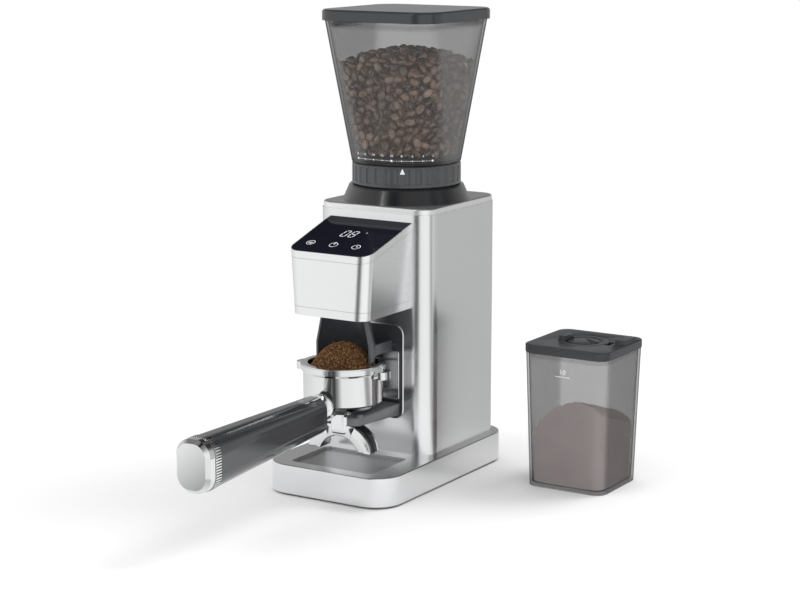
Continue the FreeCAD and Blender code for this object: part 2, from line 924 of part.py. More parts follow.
def head_column(name, inset, low, high, behind=0):
    """The head's tapering outer form, drawn in by an inset, between two heights."""
    body = new_body(name)
    sections = []
    for level in (low, high):
        half = s.head_width_low / 2 + (level - head_bottom) * head_taper - inset
        front, back, corner = head_front + inset, tower_front + behind, s.head_corner - inset
        plan = outline(
            (half, back), (-half, back), (-half, front + corner, corner), (corner - half, front),
            (half - corner, front, corner), (half, front + corner),
        )
        sections.append(drawn(body, TOP, level, plan))
    lofted(body, *sections)
    return body


def head_slab(name, low, low_slope, high, high_slope):
    """A wide slab between two planes, each given by its height and slope at the head's front."""
    body = new_body(name)
    front, back = head_front - OVERRUN, tower_front + OVERRUN
    length = s.head_reach + OVERRUN
    side = outline(
        (front, low - OVERRUN * low_slope), (back, low + length * low_slope),
        (back, high + length * high_slope), (front, high - OVERRUN * high_slope),
    )
    pad(body, drawn(body, SIDE, 0, side), s.head_width_top * 2, middle=True)
    return body


LEVEL_PLANE = as_size(0)


def head_bottom_cover():
    seam = head_bottom + s.head_low_band - s.fit_gap
    outside = head_column("low_band", 0, head_bottom, seam)
    inside = head_column("low_hollow", s.sheet_wall, head_bottom + s.sheet_wall, seam + OVERRUN, OVERRUN)
    pan = combine("Part::Cut", "low_pan", outside, inside)
    half = s.duct_width / 2 - s.duct_wall
    chute = new_body("chute_hole")
    hole = rectangle(-half, half, chute_front() + s.duct_wall, chute_back() - s.duct_wall)
    pad(chute, drawn(chute, TOP, head_bottom - OVERRUN, hole), OVERRUN * 2)
    return combine("Part::Cut", "head_bottom_cover", pan, chute)


def head_shell():
    low = head_bottom + s.head_low_band
    seam = head_top - s.head_top_band
    crest = head_top + s.panel_rise
    outside = head_column("mid_band", 0, low, crest)
    slab = head_slab("mid_slab", low, LEVEL_PLANE, seam - s.fit_gap, panel_slope)
    block = combine("Part::Common", "mid_block", outside, slab)
    inside = head_column("mid_hollow", s.sheet_wall, low - OVERRUN, crest + OVERRUN, OVERRUN)
    return combine("Part::Cut", "head_shell", block, inside)


def head_top_frame():
    """Slanted steel frame with a seat for the glass and a window under it."""
    low, high = head_bottom + s.head_low_band, head_top + s.panel_rise + OVERRUN
    seam = head_top - s.head_top_band
    outside = head_column("top_band", 0, low, high)
    slab = head_slab("top_slab", seam, panel_slope, head_top, panel_slope)
    block = combine("Part::Common", "top_block", outside, slab)
    seat_column = head_column("seat_column", s.head_lip, low, high, OVERRUN)
    seat_slab = head_slab(
        "seat_slab", head_top - s.glass_thick, panel_slope, head_top + OVERRUN, panel_slope)
    seat = combine("Part::Common", "glass_seat", seat_column, seat_slab)
    seated = combine("Part::Cut", "top_seated", block, seat)
    window = head_column("top_window", s.head_lip + s.head_ledge, low, high, OVERRUN)
    return combine("Part::Cut", "head_top_frame", seated, window)


def control_glass():
    low, high = head_bottom + s.head_low_band, head_top + s.panel_rise + OVERRUN
    column = head_column("glass_column", s.head_lip + s.fit_gap, low, high)
    slab = head_slab("glass_slab", head_top - s.glass_thick, panel_slope, head_top, panel_slope)
    return combine("Part::Common", "control_glass", column, slab)


def slanted_board(name, inset, depth, drop, thick, width):
    """A flat part parallel to the panel, a drop below it."""
    body = new_body(name)
    near, far = inset, inset + depth
    high_near = head_top + near * panel_slope - drop
    high_far = head_top + far * panel_slope - drop
    side = outline(
        (head_front + near, high_near - thick), (head_front + far, high_far - thick),
        (head_front + far, high_far), (head_front + near, high_near),
    )
    pad(body, drawn(body, SIDE, 0, side), width, middle=True)
    return body


def control_board():
    return slanted_board(
        "control_board", s.board_inset, s.board_depth, s.glass_thick, s.board_thick, s.board_width)


def display_module():
    drop = s.glass_thick + s.board_thick
    return slanted_board(
        "display_module", s.board_inset + s.display_inset, s.display_depth, drop,
        s.display_thick, s.display_width)


# Grounds path: duct from the burr chamber and the guard over the portafilter

def chute_front():
    return cup_y - s.chute_depth / 2


def chute_back():
    return cup_y + s.chute_depth / 2


def duct_start():
    return axis_y - chamber_bore - s.chamber_wall - s.run_gap


def duct_levels(y):
    """Bottom and top of the sloping duct at a y, from the chamber's outlet to the chute."""
    start_low = chamber_bottom + s.outlet_rise - s.duct_wall
    end_low = head_bottom + s.sheet_wall + s.duct_drop
    fall = (start_low - end_low) / (duct_start() - chute_back())
    low = start_low - (duct_start() - y) * fall
    return low, low + s.duct_tall


def outlet_duct():
    body = new_body("outlet_duct")
    floor = head_bottom + s.sheet_wall
    wall = s.duct_wall
    front, back, start = chute_front(), chute_back(), duct_start()
    low_start, high_start = duct_levels(start)
    low_back, high_back = duct_levels(back)
    shell = outline(
        (start, low_start), (start, high_start), (back, high_back),
        (front, low_back), (front, floor), (back, floor), (back, low_back),
    )
    pad(body, drawn(body, SIDE, 0, shell), s.duct_width, middle=True)
    hollow = outline(
        (start + wall, low_start + wall), (start + wall, high_start - wall), (back, high_back - wall),
        (front + wall, low_back - wall), (front + wall, floor - wall), (back - wall, floor - wall),
        (back - wall, low_back + wall),
    )
    pocket(body, drawn(body, SIDE, 0, hollow), s.duct_width - 2 * wall, middle=True)
    return body


def chute_guard():
    """Half funnel open to the front, with two arms back to the bay insert."""
    body = new_body("chute_guard", y=cup_y)
    top, wall = s.guard_radius_top, s.guard_wall
    waist = head_bottom - s.guard_waist
    turned(
        body,
        (top - wall, head_bottom), (s.guard_radius - wall, waist), (s.guard_radius - wall, guard_bottom),
        (s.guard_radius, guard_bottom), (s.guard_radius, waist), (top, head_bottom),
        angle=HALF_TURN,
    )
    low = base_top + s.guard_arm_rise
    arm = s.guard_arm_out
    arms = [
        rectangle(arm - s.guard_arm_width, arm, low, low + s.guard_arm_height),
        rectangle(-arm, s.guard_arm_width - arm, low, low + s.guard_arm_height),
    ]
    panel = bay_face - cup_y
    reach = (s.guard_radius * s.guard_radius - arm * arm).root() - wall
    pad(body, drawn(body, FRONT, panel, *arms), panel - reach)
    return body


# Burr chamber, burrs and the shaft that turns them

def burr_housing():
    body = new_body("burr_housing", y=axis_y)
    outer = chamber_bore + s.chamber_wall
    floor = chamber_bottom + s.chamber_floor
    seat = s.shaft_radius + s.bush_wall
    turned(
        body,
        (seat, chamber_bottom), (outer, chamber_bottom), (outer, chamber_top),
        (chamber_bore, chamber_top), (chamber_bore, floor), (seat, floor),
    )
    half = s.outlet_width / 2
    low = chamber_bottom + s.outlet_rise
    window = rectangle(-half, half, low, low + s.outlet_height)
    pocket(body, drawn(body, FRONT, -outer, window), outer - chamber_bore + OVERRUN)
    return body


def shaft_bushes():
    """Two plain bearings: in the gearbox floor and in the burr chamber floor."""
    body = new_body("shaft_bushes", y=axis_y)
    ring = (disc(s.shaft_radius + s.bush_wall), disc(s.shaft_radius + s.shaft_gap))
    pad(body, drawn(body, TOP, case_bottom, *ring), s.case_wall)
    pad(body, drawn(body, TOP, case_top, *ring), s.case_lid + s.bush_height)
    return body


def burr_shaft():
    body = new_body("burr_shaft", y=axis_y)
    top = burr_top + s.nut_height + s.run_gap
    pad(body, drawn(body, TOP, case_bottom + s.run_gap, disc(s.shaft_radius)), top - case_bottom)
    return body


def impeller():
    """Sweeping disc under the burr, with fins on its rim and a hub that carries the burr."""
    body = new_body("impeller", y=axis_y)
    bore = disc(s.shaft_radius)
    pad(body, drawn(body, TOP, impeller_bottom, disc(s.impeller_radius), bore), s.impeller_disc)
    disc_top = impeller_bottom + s.impeller_disc
    pad(body, drawn(body, TOP, disc_top, disc(s.burr_hub), bore), s.burr_hub)
    half = s.fin_thick / 2
    fin = drawn(body, TOP, disc_top, rectangle(
        s.impeller_radius - s.fin_length - half, s.impeller_radius - half, -half, half))
    around(body, pad(body, fin, s.fin_height), fin, s.fin_count)
    return body


def inner_burr():
    body = new_body("inner_burr", y=axis_y)
    turned(
        body,
        (s.shaft_radius, burr_bottom), (s.burr_radius, burr_bottom), (s.burr_top_radius, burr_top),
        (s.shaft_radius, burr_top),
    )
    depth = s.burr_flute_depth
    flute = drawn(body, TOP, burr_top, outline(
        (s.burr_top_radius - depth, 0), (s.burr_radius + depth, -depth * 2), (s.burr_radius + depth, depth)))
    around(body, pocket(body, flute, s.burr_height), flute, s.burr_flutes)
    return body


def burr_nut():
    body = new_body("burr_nut", y=axis_y)
    pad(body, drawn(body, TOP, burr_top, hexagon(s.nut_radius), disc(s.shaft_radius)), s.nut_height)
    return body


def hexagon(radius):
    turns = [as_size(side * FULL_TURN / HEX_SIDES) for side in range(HEX_SIDES)]
    return outline(*[(radius * turn.cos(), radius * turn.sin()) for turn in turns])


def outer_burr():
    body = new_body("outer_burr", y=axis_y)
    low = s.burr_radius - s.ring_burr_rise * burr_slope + s.burr_gap
    high = low - s.ring_burr_height * burr_slope
    outer = s.ring_burr_radius - s.shaft_gap
    turned(
        body, (low, carrier_bottom), (outer, carrier_bottom), (outer, ring_burr_top), (high, ring_burr_top))
    depth = s.burr_flute_depth
    tooth = drawn(body, TOP, ring_burr_top, outline(
        (high - OVERRUN, -depth / 2), (low + depth, 0), (high - OVERRUN, depth / 2)))
    around(body, pocket(body, tooth, s.ring_burr_height), tooth, s.ring_burr_teeth)
    return body


def burr_carrier():
    """Sliding sleeve that holds the outer burr and, above it, the hopper's neck."""
    body = new_body("burr_carrier", y=axis_y)
    rim = hopper_bottom - s.run_gap
    ledge = ring_burr_top + s.burr_gap
    lip = s.ring_burr_radius - s.burr_gap
    turned(
        body,
        (s.ring_burr_radius, carrier_bottom), (s.carrier_radius, carrier_bottom), (s.carrier_radius, rim),
        (throat_radius, rim), (throat_radius, ledge), (lip, ledge), (lip, ring_burr_top),
        (s.ring_burr_radius, ring_burr_top),
    )
    return body


# Collar, grind setting ring, hopper and lid

def hopper_collar():
    body = new_body("hopper_collar", y=axis_y)
    spigot = s.cover_hole - s.fit_gap
    turned(
        body,
        (chamber_bore, chamber_top), (spigot, chamber_top), (spigot, cover_top),
        (s.collar_foot, cover_top), (s.collar_head, collar_top - s.collar_edge),
        (s.collar_head - s.collar_edge, collar_top), (chamber_bore, collar_top),
    )
    return body


def grind_ring():
    """Fluted ring, with one land between flutes at the pointer."""
    body = new_body("grind_ring", y=axis_y)
    edge = s.ring_edge
    turned(
        body,
        (chamber_bore, ring_bottom), (s.ring_radius - edge, ring_bottom),
        (s.ring_radius, ring_bottom + edge), (s.ring_radius, ring_top - edge),
        (s.ring_radius - edge, ring_top), (chamber_bore, ring_top),
    )
    pitch = FULL_TURN / s.ring_flutes
    turn = s.pointer_turn - FULL_TURN / 4 + pitch / 2
    reach = s.ring_radius + s.ring_flute_radius - s.ring_flute_depth
    flute = drawn(body, TOP, ring_top - s.ring_flute_head, disc(
        s.ring_flute_radius, reach * turn.cos(), reach * turn.sin()))
    length = s.ring_height - s.ring_flute_head - s.ring_flute_foot
    around(body, pocket(body, flute, length), flute, s.ring_flutes)
    return body


def hopper_half(level):
    """Half width of the hopper's outside at a height."""
    share = (level - hopper_bottom) / s.hopper_height
    return s.hopper_foot / 2 + share * (s.hopper_width - s.hopper_foot) / 2


def hopper_corner(level):
    share = (level - hopper_bottom) / s.hopper_height
    return s.hopper_foot_corner + share * (s.hopper_corner - s.hopper_foot_corner)


def hopper_section(body, level, inset):
    half = hopper_half(level) - inset
    return drawn(body, TOP, level, rounded(-half, half, -half, half, hopper_corner(level) - inset))


def hopper_body():
    body = new_body("hopper_body", y=axis_y)
    lofted(body, hopper_section(body, hopper_bottom, 0), hopper_section(body, hopper_top, 0))
    floor = hopper_bottom + s.hopper_wall
    inside = (hopper_section(body, floor, s.hopper_wall), hopper_section(body, hopper_top, s.hopper_wall))
    lofted(body, *inside, cut=True)
    mouth = drawn(body, TOP, floor, disc(s.neck_radius + s.fit_gap))
    pocket(body, mouth, s.hopper_wall)
    return body


def hopper_neck():
    """Moulded neck that plugs into the burr carrier, with a flange on the hopper floor."""
    body = new_body("hopper_neck", y=axis_y)
    floor = hopper_bottom + s.hopper_wall
    bore = s.neck_radius - s.neck_wall
    flange = s.neck_radius + s.neck_flange
    turned(
        body,
        (bore, hopper_bottom - s.neck_length), (s.neck_radius, hopper_bottom - s.neck_length),
        (s.neck_radius, floor), (flange, floor), (flange, floor + s.neck_flange_thick),
        (bore, floor + s.neck_flange_thick),
    )
    return body


def finger_guard():
    """Cross of bars in the neck that keeps fingers from the burrs."""
    body = new_body("finger_guard", y=axis_y)
    reach, half = s.neck_radius - s.neck_wall - s.fit_gap, s.guard_bar / 2
    cross = outline(
        (half, half), (half, reach), (-half, reach), (-half, half), (-reach, half), (-reach, -half),
        (-half, -half), (-half, -reach), (half, -reach), (half, -half), (reach, -half), (reach, half),
    )
    pad(body, drawn(body, TOP, hopper_bottom, cross), s.guard_bar)
    return body


def hopper_reach(level, inset, angle):
    """How far the hopper's wall, drawn in by an inset, lies from its axis in one direction."""
    half, corner = hopper_half(level) - inset, hopper_corner(level) - inset
    flat = half - corner
    if (half * angle.sin()).value < (flat * angle.cos()).value:
        return half / angle.cos()
    across = angle.cos() - angle.sin()
    return flat * (angle.cos() + angle.sin()) + (corner * corner - flat * flat * across * across).root()


def coffee_beans():
    """The heap of beans in the hopper: a crowned core with rows of round lumps on it."""
    body = new_body("coffee_beans", y=axis_y)
    inset = s.hopper_wall + s.bean_gap + s.bean_lump_proud
    low = hopper_bottom + s.hopper_wall + s.neck_flange_thick + s.bean_gap
    level = hopper_bottom + s.bean_level - s.bean_lump_proud
    lofted(body, hopper_section(body, low, inset), hopper_section(body, level, inset))
    half = s.bean_crown_width / 2
    plan = drawn(body, TOP, level + s.bean_crown, rounded(-half, half, -half, half, s.hopper_corner))
    lofted(body, hopper_section(body, level, inset), plan)
    lumps = []
    centre = s.hopper_wall + s.bean_gap + s.bean_lump
    quarter = FULL_TURN / 4
    step = quarter / s.bean_columns
    for row in range(round(s.bean_rows.value)):
        height = low + s.bean_gap + s.bean_lump + row * s.bean_row_pitch
        for column in range(round(s.bean_columns.value)):
            angle = step * column + step / 2 * (row % 2)
            lean = angle if angle.value <= quarter / 2 else quarter - angle
            reach = hopper_reach(height, centre, lean)
            lumps.append(lump(body, s.bean_lump, reach * angle.cos(), reach * angle.sin(), height))
    rows = around(body, lumps[0], plan, FULL_TURN / quarter)
    rows.Originals = lumps
    top = level + s.bean_crown + s.bean_lump_proud - s.bean_lump
    lump(body, s.bean_lump, 0, 0, top)
    crown = lump(body, s.bean_lump, s.bean_top_ring, 0, top)
    around(body, crown, plan, s.bean_top_count)
    return body


def lid_plug_inset():
    return s.hopper_wall + s.run_gap + s.seal_thick


def hopper_lid():
    """Hollow lid with a soft top edge and a plug rim that carries the seal."""
    body = new_body("hopper_lid", y=axis_y)
    low = hopper_top + s.run_gap
    cap = rounded_box(s.lid_width, s.lid_width, s.lid_corner)
    block = pad(body, drawn(body, TOP, low, cap), s.lid_height)
    soften(body, block, low + s.lid_height, s.lid_edge)
    inset = lid_plug_inset()
    start = hopper_top - s.lid_plug
    half = hopper_half(start) - inset
    plug = rounded_box(half * 2, half * 2, s.hopper_corner - inset)
    pad(body, drawn(body, TOP, start, plug), s.lid_plug + s.run_gap)
    inner = half - s.lid_plug_wall
    hollow = rounded_box(inner * 2, inner * 2, s.hopper_corner - inset - s.lid_plug_wall)
    depth = s.lid_plug + s.run_gap + s.lid_height - s.lid_plug_wall
    pocket(body, drawn(body, TOP, start, hollow), depth, away=True)
    return body


def lid_seal():
    body = new_body("lid_seal", y=axis_y)
    inner = hopper_half(hopper_top - s.lid_plug) - lid_plug_inset()
    outer = inner + s.seal_thick
    corner = s.hopper_corner - lid_plug_inset()
    ring = (
        rounded_box(outer * 2, outer * 2, corner + s.seal_thick),
        rounded_box(inner * 2, inner * 2, corner),
    )
    pad(body, drawn(body, TOP, hopper_top - s.seal_drop - s.seal_height, *ring), s.seal_height)
    return body


# Motor, gearbox and gears

def gear_teeth(body, teeth, low, phase):
    """One ring of teeth with a tooth at the phase angle, and the disc that carries it."""
    module = s.gear_module
    root = (teeth / 2 - 1.1) * module
    tip = (teeth / 2 + 0.75) * module
    pad(body, drawn(body, TOP, low, disc(root)), s.gear_face)
    thin = s.gear_backlash / 2
    foot, point = module * 0.95 - thin, module * 0.4 - thin
    inside = root - module
    along, across = phase.cos(), phase.sin()
    spots = ((inside, -foot), (root, -foot), (tip, -point), (tip, point), (root, foot), (inside, foot))
    tooth = drawn(body, TOP, low, outline(
        *[(out * along - side * across, out * across + side * along) for out, side in spots]))
    return around(body, pad(body, tooth, s.gear_face), tooth, teeth)


def half_pitch(teeth):
    return HALF_TURN / teeth


def drive_gear():
    body = new_body("drive_gear", y=axis_y)
    gear_teeth(body, s.drive_teeth, drive_bottom, s.idler_turn)
    pocket(body, drawn(body, TOP, drive_top, disc(s.shaft_radius)), s.gear_face)
    return body


def idler_gear():
    """Large wheel driven by the motor pinion, with the small wheel that drives the burr shaft."""
    body = new_body("idler_gear", x=idler_x, y=idler_y)
    gear_teeth(body, s.wheel_teeth, wheel_bottom, s.motor_turn)
    back = s.idler_turn + HALF_TURN + half_pitch(s.small_teeth)
    pad(body, drawn(body, TOP, wheel_top, disc(s.gear_module * s.small_teeth / 3)), s.gear_step)
    gear_teeth(body, s.small_teeth, drive_bottom, back)
    bore = disc(s.idler_pin_radius + s.shaft_gap)
    pocket(body, drawn(body, TOP, drive_top, bore), drive_top - wheel_bottom)
    return body


def motor_pinion():
    body = new_body("motor_pinion", x=motor_x, y=motor_y)
    back = s.motor_turn + HALF_TURN + half_pitch(s.pinion_teeth)
    gear_teeth(body, s.pinion_teeth, wheel_bottom, back)
    pocket(body, drawn(body, TOP, wheel_top, disc(s.motor_shaft_radius)), s.gear_face)
    return body


def motor_shaft():
    body = new_body("motor_shaft", x=motor_x, y=motor_y)
    low = motor_bottom - s.motor_bell / 2
    pad(body, drawn(body, TOP, low, disc(s.motor_shaft_radius)), wheel_top - low)
    return body


def motor_armature():
    body = new_body("motor_armature", x=motor_x, y=motor_y)
    low = motor_bottom + s.armature_rise
    ring = (disc(s.armature_radius), disc(s.motor_shaft_radius))
    pad(body, drawn(body, TOP, low, *ring), s.armature_length)
    return body


def motor_can():
    body = new_body("motor_can", x=motor_x, y=motor_y)
    pad(body, drawn(body, TOP, motor_bottom, disc(s.motor_radius)), s.motor_length)
    inside = disc(s.motor_radius - s.motor_wall)
    pocket(body, drawn(body, TOP, motor_bottom, inside), s.motor_length - s.motor_bell, away=True)
    hole = disc(s.motor_shaft_radius + s.shaft_gap)
    pocket(body, drawn(body, TOP, deck_bottom, hole), s.motor_bell)
    return body


def motor_end_bell():
    body = new_body("motor_end_bell", x=motor_x, y=motor_y)
    low = motor_bottom - s.motor_bell
    pad(body, drawn(body, TOP, low, disc(s.motor_radius)), s.motor_bell)
    hole = disc(s.motor_shaft_radius + s.shaft_gap)
    pocket(body, drawn(body, TOP, motor_bottom, hole), s.motor_bell / 2 + s.run_gap)
    return body


def gearbox_case():
    body = new_body("gearbox_case")
    case = rounded_box(s.case_width, s.case_depth, s.case_corner)
    pad(body, drawn(body, TOP, case_bottom, case), s.case_height)
    wall = s.case_wall
    inside = rounded_box(s.case_width - 2 * wall, s.case_depth - 2 * wall, s.case_corner - wall)
    pocket(body, drawn(body, TOP, case_top, inside), s.case_height - wall)
    posts = [disc(s.case_post, x, y) for x, y in case_post_places()]
    pad(body, drawn(body, TOP, case_bottom + wall, *posts), s.case_height - wall)
    screws = [disc(s.screw_radius + s.shaft_gap, x, y) for x, y in case_post_places()]
    pocket(body, drawn(body, TOP, case_top, *screws), s.screw_depth)
    floor = (
        disc(s.shaft_radius + s.bush_wall, 0, axis_y),
        disc(s.motor_shaft_radius * 2, motor_x, motor_y),
        disc(s.idler_pin_radius, idler_x, idler_y),
    )
    pocket(body, drawn(body, TOP, case_bottom + wall, *floor), wall)
    return body


def gearbox_lid():
    body = new_body("gearbox_lid")
    lid = rounded_box(s.case_width, s.case_depth, s.case_corner)
    pad(body, drawn(body, TOP, case_top, lid), s.case_lid)
    screws = [disc(s.screw_radius + s.fit_gap, x, y) for x, y in case_post_places()]
    seats = (disc(s.shaft_radius + s.bush_wall, 0, axis_y), disc(s.idler_pin_radius, idler_x, idler_y))
    pocket(body, drawn(body, TOP, chamber_bottom, *screws, *seats), s.case_lid)
    return body


def gearbox_screws():
    body = new_body("gearbox_screws")
    places = case_post_places()
    pad(body, drawn(body, TOP, chamber_bottom, *[disc(s.screw_head, x, y) for x, y in places]),
        s.screw_head_height)
    shanks = drawn(body, TOP, chamber_bottom, *[disc(s.screw_radius, x, y) for x, y in places])
    pad(body, shanks, s.screw_depth, away=True)
    return body


def idler_pin():
    body = new_body("idler_pin", x=idler_x, y=idler_y)
    pad(body, drawn(body, TOP, case_bottom, disc(s.idler_pin_radius)), chamber_bottom - case_bottom)
    return body


# Portafilter: cup, basket, coffee, spouts and handle

def portafilter_cup():
    body = new_body("portafilter_cup", y=cup_y)
    rim_low = rim_top - s.rim_height
    turned(
        body,
        (0, cup_bottom), (s.cup_foot, cup_bottom), (s.cup_radius, cup_bottom + s.cup_round),
        (s.cup_radius, rim_low - (s.rim_radius - s.cup_radius)), (s.rim_radius, rim_low),
        (s.rim_radius, rim_top), (0, rim_top),
    )
    ear_low = rim_top - s.ear_drop - s.ear_thick / 2
    ears = rounded_box(s.ear_reach * 2, s.ear_width, s.ear_width * 2 / 5)
    pad(body, drawn(body, TOP, ear_low, ears), s.ear_thick)
    bar = disc(s.neck_bar_radius, 0, grip_z)
    pad(body, drawn(body, FRONT, -s.cup_foot, bar), s.grip_front - s.cup_foot)
    pocket(body, drawn(body, TOP, rim_top, disc(cup_bore)), s.cup_height - s.cup_floor)
    return body


def filter_basket():
    """Pressed steel basket that hangs in the cup by its flange."""
    body = new_body("filter_basket", y=cup_y)
    wall, outer = s.basket_wall, cup_bore - s.fit_gap
    flange = s.rim_radius - s.basket_flange
    low = rim_top - s.basket_depth
    turned(
        body,
        (0, low), (outer, low), (outer, rim_top), (flange, rim_top), (flange, rim_top + s.basket_flange),
        (outer - wall, rim_top + s.basket_flange), (outer - wall, low + wall), (0, low + wall),
    )
    return body


def ground_coffee():
    """The coffee that fills the basket, and the heap on it that is kept clear of the guard."""
    body = new_body("ground_coffee", y=cup_y)
    radius = cup_bore - s.fit_gap - s.basket_wall - s.run_gap
    low = rim_top - s.basket_depth + s.basket_wall + s.run_gap
    turned(body, (0, low), (radius, low), (radius, rim_top), (0, rim_top))
    foot, side = rim_top + s.fit_gap, s.guard_radius - s.guard_wall - s.heap_clear
    turned(
        body,
        (0, foot), (side, foot), (side, guard_bottom),
        (s.heap_shoulder, rim_top + s.heap_shoulder_height),
        (s.heap_crown, rim_top + s.heap_crown_height), (0, rim_top + s.heap_height),
    )
    return body


def spout_block():
    """Six-sided boss under the cup and a forked spout with two tips."""
    body = new_body("spout_block", y=cup_y)
    pad(body, drawn(body, TOP, hex_bottom, hexagon(s.hex_radius)), s.hex_height)
    half, neck = s.spout_half, s.spout_neck
    inner = half - s.spout_tip
    arch = (inner * inner + s.spout_arch * s.spout_arch) / (2 * s.spout_arch)
    fork = outline(
        (half, spout_bottom, s.spout_bend), (neck, spout_top), (-neck, spout_top, s.spout_bend),
        (-half, spout_bottom), (-inner, spout_bottom, arch, -1), (inner, spout_bottom),
    )
    pad(body, drawn(body, FRONT, 0, fork), s.spout_depth, middle=True)
    return body


def grip_section(body, y, z, width, height, corner):
    return drawn(body, FRONT, y, rounded_box(width, height, corner, 0, z))


def handle_grip():
    body = new_body("handle_grip")
    nose_corner = s.grip_nose_width / 2 - s.run_gap
    lofted(
        body,
        grip_section(body, grip_start, grip_z, s.grip_nose_width, s.grip_nose_height, nose_corner),
        grip_section(body, grip_start - s.grip_nose, grip_z, s.grip_front_width, s.grip_front_height,
                     s.grip_front_corner),
        grip_section(body, grip_end, grip_end_z, s.grip_end_width, s.grip_end_height, s.grip_end_corner),
    )
    return body


def handle_knurl():
    body = new_body("handle_knurl")
    width = s.grip_end_width + s.knurl_proud * 2
    height = s.grip_end_height + s.knurl_proud * 2
    ring = rounded_box(width, height, s.grip_end_corner + s.knurl_proud, 0, grip_end_z)
    pad(body, drawn(body, FRONT, grip_end, ring), s.knurl_length)
    return body


def handle_cap():
    body = new_body("handle_cap")
    edge = s.cap_edge
    width, height, corner = s.grip_end_width, s.grip_end_height, s.grip_end_corner
    pad(body, drawn(body, FRONT, knurl_end, rounded_box(width, height, corner, 0, grip_end_z)),
        s.cap_length - edge)
    bevel = knurl_end - s.cap_length + edge
    lofted(
        body,
        grip_section(body, bevel, grip_end_z, width, height, corner),
        grip_section(body, bevel - edge, grip_end_z, width - 2 * edge, height - 2 * edge, corner - edge),
    )
    return body


# Grounds container with its lid and flap

def can_section(body, level, inset):
    share = level / s.can_height
    width = s.can_foot_width + share * (s.can_width - s.can_foot_width) - 2 * inset
    depth = s.can_foot_depth + share * (s.can_depth - s.can_foot_depth) - 2 * inset
    return drawn(body, TOP, level, rounded_box(width, depth, s.can_corner - inset))


def can_body(name):
    return new_body(name, x=s.can_right, y=s.can_back)


def grounds_container():
    body = can_body("grounds_container")
    lofted(body, can_section(body, as_size(0), 0), can_section(body, s.can_height, 0))
    inside = (can_section(body, s.can_floor, s.can_wall), can_section(body, s.can_height, s.can_wall))
    lofted(body, *inside, cut=True)
    return body


def container_grounds():
    """The heap of ground coffee in the container, as one crowned solid."""
    body = can_body("container_grounds")
    inset = s.can_wall + s.run_gap
    low, level = s.can_floor + s.run_gap, s.can_floor + s.can_fill
    lofted(body, can_section(body, low, inset), can_section(body, level, inset))
    crown = rounded_box(s.can_foot_width / 3, s.can_foot_depth / 3, s.can_corner)
    top = drawn(body, TOP, level + s.can_fill_crown, crown)
    lofted(body, can_section(body, level, inset), top)
    return body


def container_lid():
    """Lid with a plug rim, a round hole with a ledge for the flap, a notch and a lifting tab."""
    body = can_body("container_lid")
    width, depth = s.can_width + 2 * s.can_lid_over, s.can_depth + 2 * s.can_lid_over
    corner = s.can_corner + s.can_lid_over
    block = pad(body, drawn(body, TOP, can_lid_bottom, rounded_box(width, depth, corner)), s.can_lid_height)
    soften(body, block, can_lid_top, s.can_lid_edge)
    rim = [
        rounded_box(s.can_width - 2 * inset, s.can_depth - 2 * inset, s.can_corner - inset)
        for inset in (s.can_wall + s.can_plug_gap, s.can_wall + s.can_plug_gap + s.can_lid_wall)
    ]
    pad(body, drawn(body, TOP, can_lid_bottom, *rim), s.can_plug, away=True)
    right = width / 2
    tab = rectangle(right - s.can_lid_edge - s.tab_depth, right - s.can_lid_edge,
                    s.tab_back - s.tab_width / 2, s.tab_back + s.tab_width / 2)
    pad(body, drawn(body, TOP, can_lid_top, tab), s.tab_height)
    mouth = s.flap_radius - s.flap_ledge
    pocket(body, drawn(body, TOP, can_lid_top, disc(mouth)), s.can_lid_height)
    seat = drawn(body, TOP, can_lid_top, disc(s.flap_radius + s.run_gap))
    pocket(body, seat, can_lid_top - flap_bottom + s.run_gap)
    notch = rectangle(mouth, s.flap_radius + s.notch_reach, -s.notch_width / 2, s.notch_width / 2)
    pocket(body, drawn(body, TOP, can_lid_top, notch), can_lid_top - flap_bottom + s.run_gap)
    return body


def container_flap():
    """Round flap with a raised hinge lug on its left edge."""
    body = can_body("container_flap")
    pad(body, drawn(body, TOP, flap_bottom, disc(s.flap_radius)), s.flap_thick)
    flap_top = flap_bottom + s.flap_thick
    step = (disc(s.flap_ring), disc(s.flap_ring - s.flap_ledge))
    pocket(body, drawn(body, TOP, flap_top, *step), s.flap_ring_depth)
    half = s.flap_lug_width / 2
    root = (s.flap_radius * s.flap_radius - half * half).root() - s.run_gap
    lug = rectangle(-root, s.flap_lug_reach - root, -half, half)
    pad(body, drawn(body, TOP, flap_top, lug), s.flap_lug_height)
    return body


PIECES = (
    base_skirt, base_plate, rubber_feet, base_screws, crumb_tray, cable_gland,
    tower_shell, top_cover, inner_frame, power_board,
    bay_frame, bay_plate, portafilter_fork,
    head_bottom_cover, head_shell, head_top_frame, control_glass, control_board, display_module,
    outlet_duct, chute_guard,
    burr_housing, shaft_bushes, burr_shaft, impeller, inner_burr, burr_nut, outer_burr, burr_carrier,
    hopper_collar, grind_ring, hopper_body, hopper_neck, finger_guard, coffee_beans, hopper_lid, lid_seal,
    drive_gear, idler_gear, motor_pinion, motor_shaft, motor_armature, motor_can, motor_end_bell,
    gearbox_case, gearbox_lid, gearbox_screws, idler_pin,
    portafilter_cup, filter_basket, ground_coffee, spout_block, handle_grip, handle_knurl, handle_cap,
    grounds_container, container_grounds, container_lid, container_flap,
)

finished = {make.__name__: make() for make in PIECES}
doc.recompute()

for thing in doc.Objects:
    if "Invalid" in thing.State or "Error" in thing.State:
        raise RuntimeError(f"{thing.Name} failed: {thing.State}")

for name, piece in finished.items():
    piece.Label = name
    if piece.Shape.isNull() or not piece.Shape.isValid() or not piece.Shape.Solids:
        raise RuntimeError(f"{name} has no valid solid")

os.makedirs("parts", exist_ok=True)
for name, piece in finished.items():
    piece.Shape.exportStep(f"parts/{name}.step")
print(len(finished), "pieces written")
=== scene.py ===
import math
import random

